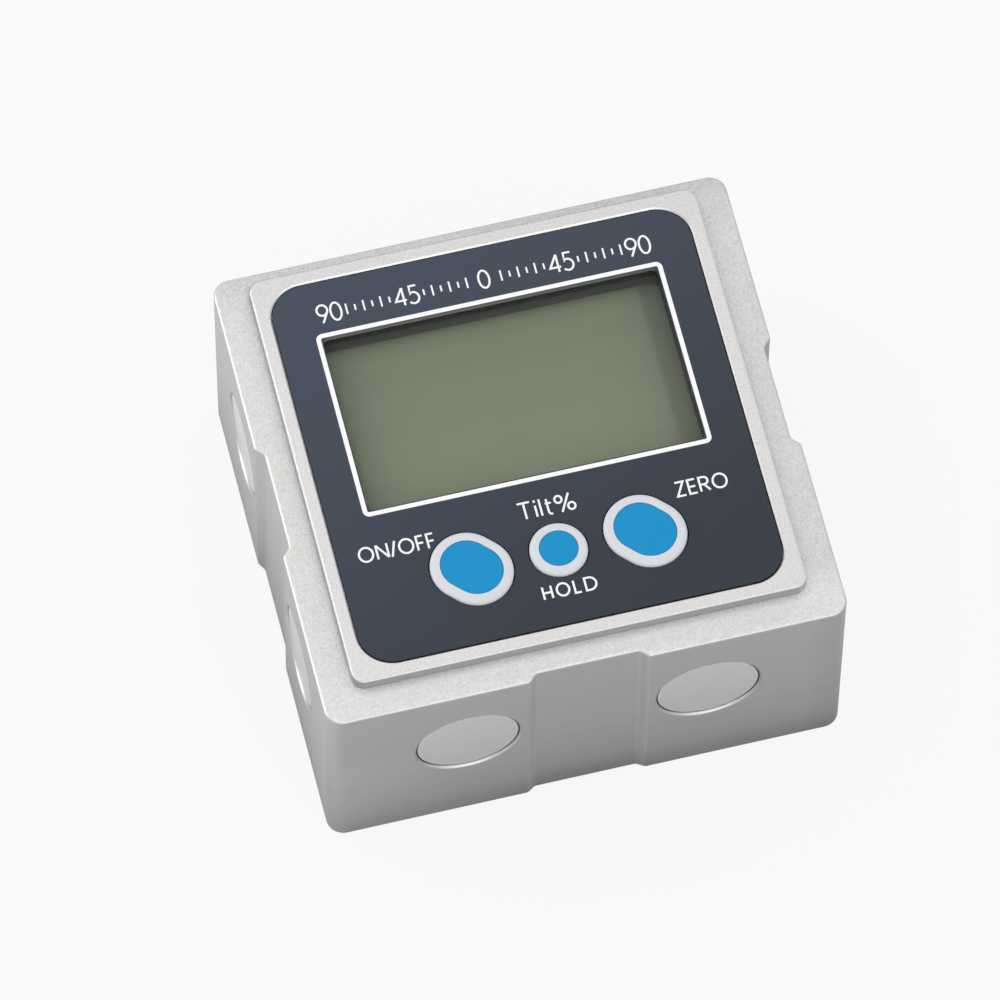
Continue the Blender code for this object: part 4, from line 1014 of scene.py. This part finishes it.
def make_key(name, x):
    """A key's white body with its rounded shoulder, and its domed coloured face."""
    body_line = key_outline(name)
    seat_line = key_outline(name, FACE_GAP, face=True)
    rings = [[(px, py, FLANGE_TOP - FLANGE_BITE) for px, py in body_line]]
    for turn in quarter_turn(12):
        share = SHOULDER_SHARE * (1 - math.cos(turn))
        z = KEY_TOP - KEY_DROP * (1 - math.sin(turn))
        rings.append([
            (x0 + (x1 - x0) * share, y0 + (y1 - y0) * share, z)
            for (x0, y0), (x1, y1) in zip(body_line, seat_line)
        ])
    rings.append([(px, py, KEY_TOP) for px, py in seat_line])
    place = (x, KEY_Y, 0)
    body = moved(shape(f"{name}_key_body", rings), place)
    flange = solid("flange", key_outline(name, FLANGE_GROW), FLANGE_LOW, FLANGE_TOP, place)
    stem_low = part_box(f"{name}_key")[0].z / MM
    stem = solid("stem", circle(STEM_RADIUS, 32), stem_low, FLANGE_TOP - FLANGE_BITE, place)
    combine(body, [flange, stem], "UNION")
    combine(body, [solid("seat", seat_line, FACE_SEAT, KEY_TOP + PAST, place)], "DIFFERENCE")
    rider = f"{name}_key"
    finished(body, FINISHES["key_white"], rider, [rider])
    radius, half_span = (ROUND_KEY if name == "hold" else LONG_KEY)[1:]
    rings = [[(px, py, FACE_LOW) for px, py in stadium(radius, half_span, KEY_TURN)]]
    for turn in quarter_turn(6):
        inset = FACE_EDGE_INSET * (1 - math.cos(turn))
        z = FACE_SIDE_TOP + FACE_EDGE_RISE * math.sin(turn)
        rings.append([(px, py, z) for px, py in stadium(radius - inset, half_span, KEY_TURN)])
    face = moved(shape(f"{name}_key_cap", rings), place)
    finished(face, FINISHES["key_blue"], rider, [f"{name}_key_face"])


def make_cells():
    """The two cells, with round shoulders and a nub at the plus end."""
    for name, degrees in (("battery_cell_1", 90), ("battery_cell_2", -90)):
        low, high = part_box(name)
        radius = (high.z - low.z) / 2 / MM
        end = (high.x - low.x) / 2 / MM
        shoulder = end - CELL_NUB_LENGTH
        profile = arc(radius - CELL_EDGE, CELL_EDGE - end, CELL_EDGE, -90, 0, 5)
        profile += arc(radius - CELL_EDGE, shoulder - CELL_EDGE, CELL_EDGE, 0, 90, 5)
        profile += [(CELL_NUB_RADIUS, shoulder)]
        nub_edge = CELL_NUB_RADIUS - CELL_NUB_EDGE, end - CELL_NUB_EDGE
        profile += arc(*nub_edge, CELL_NUB_EDGE, 0, 90, 4)
        turn = Matrix.Rotation(math.radians(degrees), 4, "Y")
        cell = turned(f"{name}_can", profile, (low + high) / 2 / MM, turn, 72)
        finished(cell, FINISHES["cell_jacket"], "root", [name])


# Print on the panel

def ribbon(work, points, width, closed=False, lift=0.0):
    """Adds a flat stroke along a line of points, with mitred corners, to a bmesh."""
    count = len(points)
    pairs = []
    for i, point in enumerate(points):
        here = Vector(point)
        before = Vector(points[i - 1]) if i or closed else None
        after = Vector(points[(i + 1) % count]) if i < count - 1 or closed else None
        first = (here - before).normalized() if before else (after - here).normalized()
        second = (after - here).normalized() if after else first
        side = Vector((-first.y, first.x)) + Vector((-second.y, second.x))
        side.normalize()
        reach = width / 2 / max(MITRE_LIMIT, side.dot(Vector((-first.y, first.x))))
        pairs.append((here + side * reach, here - side * reach))
    rows = []
    for left, right in pairs:
        high = PRINT_HIGH + lift
        corners = [(*left, PRINT_LOW), (*left, high), (*right, high), (*right, PRINT_LOW)]
        rows.append([work.verts.new(Vector(corner) * MM) for corner in corners])
    following = rows[1:] + rows[:1] if closed else rows[1:]
    for one, two in zip(rows, following):
        for i in range(4):
            j = (i + 1) % 4
            work.faces.new((one[i], one[j], two[j], two[i]))
    if not closed:
        work.faces.new(rows[0][::-1])
        work.faces.new(rows[-1])


# Each letter's width and strokes, with the capitals' height as 1. A stroke whose ends meet is closed,
# and EDGE is how far from an outer stroke an inner one starts.
EDGE = 0.075
LETTERS = {
    "O": (0.90, [bow(0.45, 0.5, 0.45, 0.5, 90, 450, 32)]),
    "N": (0.70, [[(0, 0), (0, 1)], [(0.03, 0.96), (0.67, 0.04)], [(0.70, 0), (0.70, 1)]]),
    "F": (0.42, [[(0, 0), (0, 1), (0.42, 1)], [(EDGE, 0.5), (0.40, 0.5)]]),
    "/": (0.24, [[(-0.05, -0.04), (0.28, 1.04)]]),
    "H": (0.62, [[(0, 0), (0, 1)], [(0.62, 0), (0.62, 1)], [(EDGE, 0.5), (0.62 - EDGE, 0.5)]]),
    "L": (0.44, [[(0, 1), (0, 0), (0.44, 0)]]),
    "D": (0.80, [[(0, 0), (0, 1), (0.3, 1), *bow(0.3, 0.5, 0.5, 0.5, 84, -84, 18), (0.3, 0), (0, 0)]]),
    "Z": (0.58, [[(0.02, 1), (0.56, 1), (0.02, 0), (0.58, 0)]]),
    "E": (0.48, [[(0.48, 1), (0, 1), (0, 0), (0.48, 0)], [(EDGE, 0.5), (0.44, 0.5)]]),
    "R": (0.60, [
        [(0, 0), (0, 1), (0.3, 1), *bow(0.3, 0.74, 0.26, 0.26, 80, -80, 12), (0.3, 0.48), (EDGE, 0.48)],
        [(0.32, 0.48 - EDGE), (0.60, 0)],
    ]),
    "T": (0.70, [[(0, 1), (0.70, 1)], [(0.35, 1 - EDGE), (0.35, 0)]]),
    "i": (0.02, [[(0, 0), (0, 0.70)], [(0, 0.88), (0, 1.03)]]),
    "l": (0.02, [[(0, 0), (0, 1.03)]]),
    "t": (0.32, [
        [(0.12, 0.95), (0.12, 0.18), *bow(0.26, 0.16, 0.14, 0.16, 190, 270, 6), (0.32, 0)],
        [(0.12 + EDGE, 0.68), (0.34, 0.68)], [(0, 0.68), (0.12 - EDGE, 0.68)],
    ]),
    "%": (1.06, [
        bow(0.20, 0.77, 0.20, 0.22, 90, 450, 20), bow(0.86, 0.23, 0.20, 0.22, 90, 450, 20),
        [(0.27, -0.04), (0.83, 1.04)],
    ]),
    "0": (0.54, [bow(0.27, 0.5, 0.27, 0.5, 90, 450, 28)]),
    "4": (0.56, [[(0.42, 0), (0.42, 1)], [(0.42, 1), (0, 0.28), (0.56, 0.28)]]),
    "5": (0.50, [[(0.46, 1), (0.11, 1), (0.08, 0.56), *bow(0.22, 0.32, 0.28, 0.32, 110, -140, 20)]]),
    "9": (0.54, [bow(0.27, 0.7, 0.27, 0.3, 90, 450, 24), [(0.50, 0.54), (0.19, -0.02)]]),
}


def word_width(text, height, gap):
    """How long a word is, from the middle of its first stroke to the middle of its last."""
    return sum(LETTERS[letter][0] * height for letter in text) + gap * (len(text) - 1)


def add_word(work, text, west, base, height, gap):
    """Adds a word's strokes to a bmesh, from its west end and its base line."""
    x = west
    for letter in text:
        advance, strokes = LETTERS[letter]
        for i, stroke in enumerate(strokes):
            points = [(x + px * height, base + py * height) for px, py in stroke]
            closed = math.dist(points[0], points[-1]) < SAME_PLACE
            ribbon(work, points[:-1] if closed else points, STROKE, closed, i * STROKE_LIFT)
        x += advance * height + gap


def printed(name, work):
    """A bmesh of print as a finished piece."""
    finished(outward(name, work), WHITE_INK, "root")


def make_words():
    """The words by the keys."""
    work = bmesh.new()
    for text, west, east, base, height in KEY_WORDS:
        gap = (east - west - word_width(text, height, 0)) / (len(text) - 1)
        add_word(work, text, west, base, height, gap)
    printed("key_words", work)


def make_view_line():
    """The white line round the display's opening."""
    work = bmesh.new()
    line = rounded(grown(VIEW, LINE_GROW), LINE_CORNER, 12)
    ribbon(work, line, LINE_WIDTH, True)
    printed("view_line", work)


def make_scale_numbers():
    """The degree numbers over the display."""
    work = bmesh.new()
    for i, text in enumerate(SCALE_NUMBERS):
        width = word_width(text, NUMBER_HEIGHT, NUMBER_GAP)
        middle = SCALE_MIDDLE + SCALE_STEP * (i - (len(SCALE_NUMBERS) - 1) / 2)
        add_word(work, text, middle - width / 2, SCALE_BASE, NUMBER_HEIGHT, NUMBER_GAP)
    printed("scale_numbers", work)


# The inputs of the node tree that sets out the ticks.
TICK_INPUTS = (
    ("Rows", "NodeSocketInt"), ("Ticks", "NodeSocketInt"), ("Start", "NodeSocketVector"),
    ("Row Step", "NodeSocketFloat"), ("Tick Step", "NodeSocketFloat"),
    ("Tick Size", "NodeSocketVector"), ("Long Tick", "NodeSocketFloat"),
    ("Material", "NodeSocketMaterial"),
)


def tick_tree():
    """Geometry nodes that set out rows of ticks, with each second one longer."""
    tree = bpy.data.node_groups.new("tick_rows", "GeometryNodeTree")
    tree.interface.new_socket("Geometry", in_out="OUTPUT", socket_type="NodeSocketGeometry")
    for name, kind in TICK_INPUTS:
        tree.interface.new_socket(name, in_out="INPUT", socket_type=kind)

    def made(kind, values=None, settings=None):
        return add_node(tree, kind, settings, values).outputs[0]

    def math_of(operation, *values):
        return made("ShaderNodeMath", dict(enumerate(values)), {"operation": operation})

    start = add_node(tree, "NodeGroupInput").outputs
    total = math_of("MULTIPLY", start["Rows"], start["Ticks"])
    line = made(
        "GeometryNodeMeshLine", {"Count": total, "Start Location": start["Start"], "Offset": (0, 0, 0)}
    )
    index = made("GeometryNodeInputIndex")
    row = math_of("FLOOR", math_of("DIVIDE", index, start["Ticks"]))
    tick = math_of("SUBTRACT", index, math_of("MULTIPLY", row, start["Ticks"]))
    row_start = math_of("MULTIPLY", row, start["Row Step"])
    along = math_of("ADD", row_start, math_of("MULTIPLY", tick, start["Tick Step"]))
    offset = made("ShaderNodeCombineXYZ", {"X": along})
    places = made("GeometryNodeSetPosition", {"Geometry": line, "Offset": offset})
    odd = math_of("MODULO", math_of("ADD", row, tick), 2.0)
    longer = math_of("SUBTRACT", start["Long Tick"], 1.0)
    tall = math_of("MULTIPLY_ADD", math_of("SUBTRACT", 1.0, odd), longer, 1.0)
    size = made("ShaderNodeCombineXYZ", {"X": 1.0, "Y": tall, "Z": 1.0})
    bar = made("GeometryNodeMeshCube", {"Size": start["Tick Size"]})
    every = made("GeometryNodeInstanceOnPoints", {"Points": places, "Instance": bar, "Scale": size})
    real = made("GeometryNodeRealizeInstances", {"Geometry": every})
    inked = made("GeometryNodeSetMaterial", {"Geometry": real, "Material": start["Material"]})
    add_node(tree, "NodeGroupOutput", None, {"Geometry": inked})
    return tree


def grown_from(tree, name, values):
    """A piece made by a geometry node tree, as a plain mesh."""
    piece = linked(name, bpy.data.meshes.new(name))
    step = piece.modifiers.new(name, "NODES")
    step.node_group = tree
    for item in tree.interface.items_tree:
        if item.in_out == "INPUT" and item.name in values:
            step[item.identifier] = values[item.name]
    evaluated(piece)
    return piece


def make_scale_ticks():
    """The ticks between the degree numbers."""
    rows = len(SCALE_NUMBERS) - 1
    tick_step = SCALE_STEP / STEPS_PER_NUMBER
    start = Vector((
        SCALE_MIDDLE - rows / 2 * SCALE_STEP + STEPS_UNDER_NUMBER * tick_step,
        SCALE_BASE + NUMBER_HEIGHT / 2, (PRINT_LOW + PRINT_HIGH) / 2,
    ))
    piece = grown_from(tick_tree(), "scale_ticks", {
        "Rows": rows, "Ticks": STEPS_PER_NUMBER + 1 - 2 * STEPS_UNDER_NUMBER, "Start": start * MM,
        "Row Step": SCALE_STEP * MM, "Tick Step": tick_step * MM,
        "Tick Size": Vector((TICK_WIDTH, SHORT_TICK, PRINT_HIGH - PRINT_LOW)) * MM,
        "Long Tick": LONG_TICK / SHORT_TICK, "Material": WHITE_INK,
    })
    finished(piece, WHITE_INK, "root")


# Stage, light and camera

def make_floor():
    """A pale floor that keeps the shadow. It is near white to the camera, white far off in mirrored
    rays, and clear from below; in mirrored rays it has painted shade near the part and a painted glow to
    its left."""
    floor = linked("floor", bpy.data.meshes.new("floor"))
    corners = [(-1, -1), (1, -1), (1, 1), (-1, 1)]
    points = [Vector((x * FLOOR_REACH, y * FLOOR_REACH, -FLOOR_DROP)) * MM for x, y in corners]
    floor.data.from_pydata(points, [], [(0, 1, 2, 3)])
    p = Paint("floor_paper", roughness=0.9, specular_ior_level=0.0)
    path = p.node("ShaderNodeLightPath")
    camera = Field(p, path.outputs["Is Camera Ray"])
    mirrored = Field(p, path.outputs["Is Glossy Ray"])
    through = Field(p, path.outputs["Is Transmission Ray"])
    beyond_side = p.axis("X").math("ABSOLUTE") - WIDTH / 2
    aside = beyond_side.math("MAXIMUM", p.axis("Y").math("ABSOLUTE") - DEPTH / 2)
    near = aside.fall(*FLOOR_NEAR_BAND)
    # Painted shade in mirrored rays: the floor darker near the part.
    tone = 1 + (p.noise(40.0) - 0.5) * 0.01 - mirrored * near * FLOOR_NEAR_SHADE
    p.color(p.toned(FLOOR_GREY, tone))
    glow = p.node("ShaderNodeEmission", None, {"Color": (1.0, 1.0, 1.0), "Strength": 1.0})
    # Painted glow in mirrored rays to the left of the part, which the left side mirrors.
    leftward = p.axis("Y") * FLOOR_LEFT_SLANT - p.axis("X")
    left = leftward.step(*FLOOR_LEFT_BAND) * FLOOR_LEFT_GLOW
    bright = left.math("MAXIMUM", aside.step(*FLOOR_FAR_BAND))
    shown = camera * FLOOR_LIFT + mirrored.math("MAXIMUM", through) * bright
    lifted = p.blend(shown, p.shader.outputs[0], glow.outputs[0])
    below = Field(p, p.node("ShaderNodeNewGeometry").outputs["Backfacing"])
    under = below.math("MAXIMUM", Field(p, path.outputs["Transparent Depth"]).step(0.0, 1.0))
    clear = p.node("ShaderNodeBsdfTransparent").outputs[0]
    p.feed(p.output.inputs["Surface"], p.blend(under, lifted, clear))
    floor.data.materials.append(p.material)


def make_world():
    """White where it is seen, softer where it lights or is mirrored."""
    world = bpy.data.worlds.new("studio")
    world.use_nodes = True
    bpy.context.scene.world = world
    tree = world.node_tree
    path = add_node(tree, "ShaderNodeLightPath")
    background = tree.nodes["Background"]
    background.inputs["Color"].default_value = (1, 1, 1, 1)
    level = AMBIENT
    rays = (("Is Glossy Ray", MIRRORED), ("Is Camera Ray", SEEN), ("Is Transmission Ray", SEEN))
    for ray, strength in rays:
        values = {"Factor": path.outputs[ray], 2: level, 3: strength}
        level = add_node(tree, "ShaderNodeMix", {"data_type": "FLOAT"}, values).outputs[0]
    feed(tree, background.inputs["Strength"], level)


def make_lamp(name, place, aim, width, height, watts):
    """A soft rectangular lamp; places are in millimetres."""
    data = bpy.data.lights.new(name, "AREA")
    data.shape = "RECTANGLE"
    data.size = width * MM
    data.size_y = height * MM
    data.energy = watts
    lamp = bpy.data.objects.new(name, data)
    lamp.location = Vector(place) * MM
    lamp.rotation_mode = "QUATERNION"
    lamp.rotation_quaternion = (Vector(aim) - Vector(place)).to_track_quat("-Z", "Y")
    bpy.context.scene.collection.objects.link(lamp)


def make_camera():
    """The camera as fitted to the photograph."""
    azimuth, elevation, roll = (math.radians(degrees) for degrees in CAMERA_TURN)
    back = Vector((
        math.sin(azimuth) * math.cos(elevation), -math.cos(azimuth) * math.cos(elevation),
        math.sin(elevation),
    ))
    across = Vector((0, 0, 1)).cross(back).normalized()
    up = back.cross(across)
    right = across * math.cos(roll) + up * math.sin(roll)
    above = up * math.cos(roll) - across * math.sin(roll)
    data = bpy.data.cameras.new("camera")
    data.lens = CAMERA_LENS
    data.sensor_width = CAMERA_SENSOR
    data.clip_start, data.clip_end = (reach * MM for reach in CAMERA_REACH)
    camera = bpy.data.objects.new("camera", data)
    turn = Matrix((right, above, back)).transposed()
    place = turn @ Vector(CAMERA_PLACE) * MM
    camera.matrix_world = Matrix.Translation(place) @ turn.to_4x4()
    bpy.context.scene.collection.objects.link(camera)
    bpy.context.scene.camera = camera


for name, piece in nodes.items():
    for item in piece.material_slots:
        slot_name = item.material.name.split(".")[0]
        item.material = FRAME_PLASTIC if name == "display_frame" else FINISHES[slot_name]

make_housing()
make_magnets()
make_panel()
make_window()
for key_name, key_x in KEY_PLACES.items():
    make_key(key_name, key_x)
make_cells()
make_words()
make_view_line()
make_scale_numbers()
make_scale_ticks()

make_floor()
make_world()
for lamp_values in LAMPS:
    make_lamp(*lamp_values)
make_camera()
bpy.context.scene.view_settings.view_transform = "Standard"
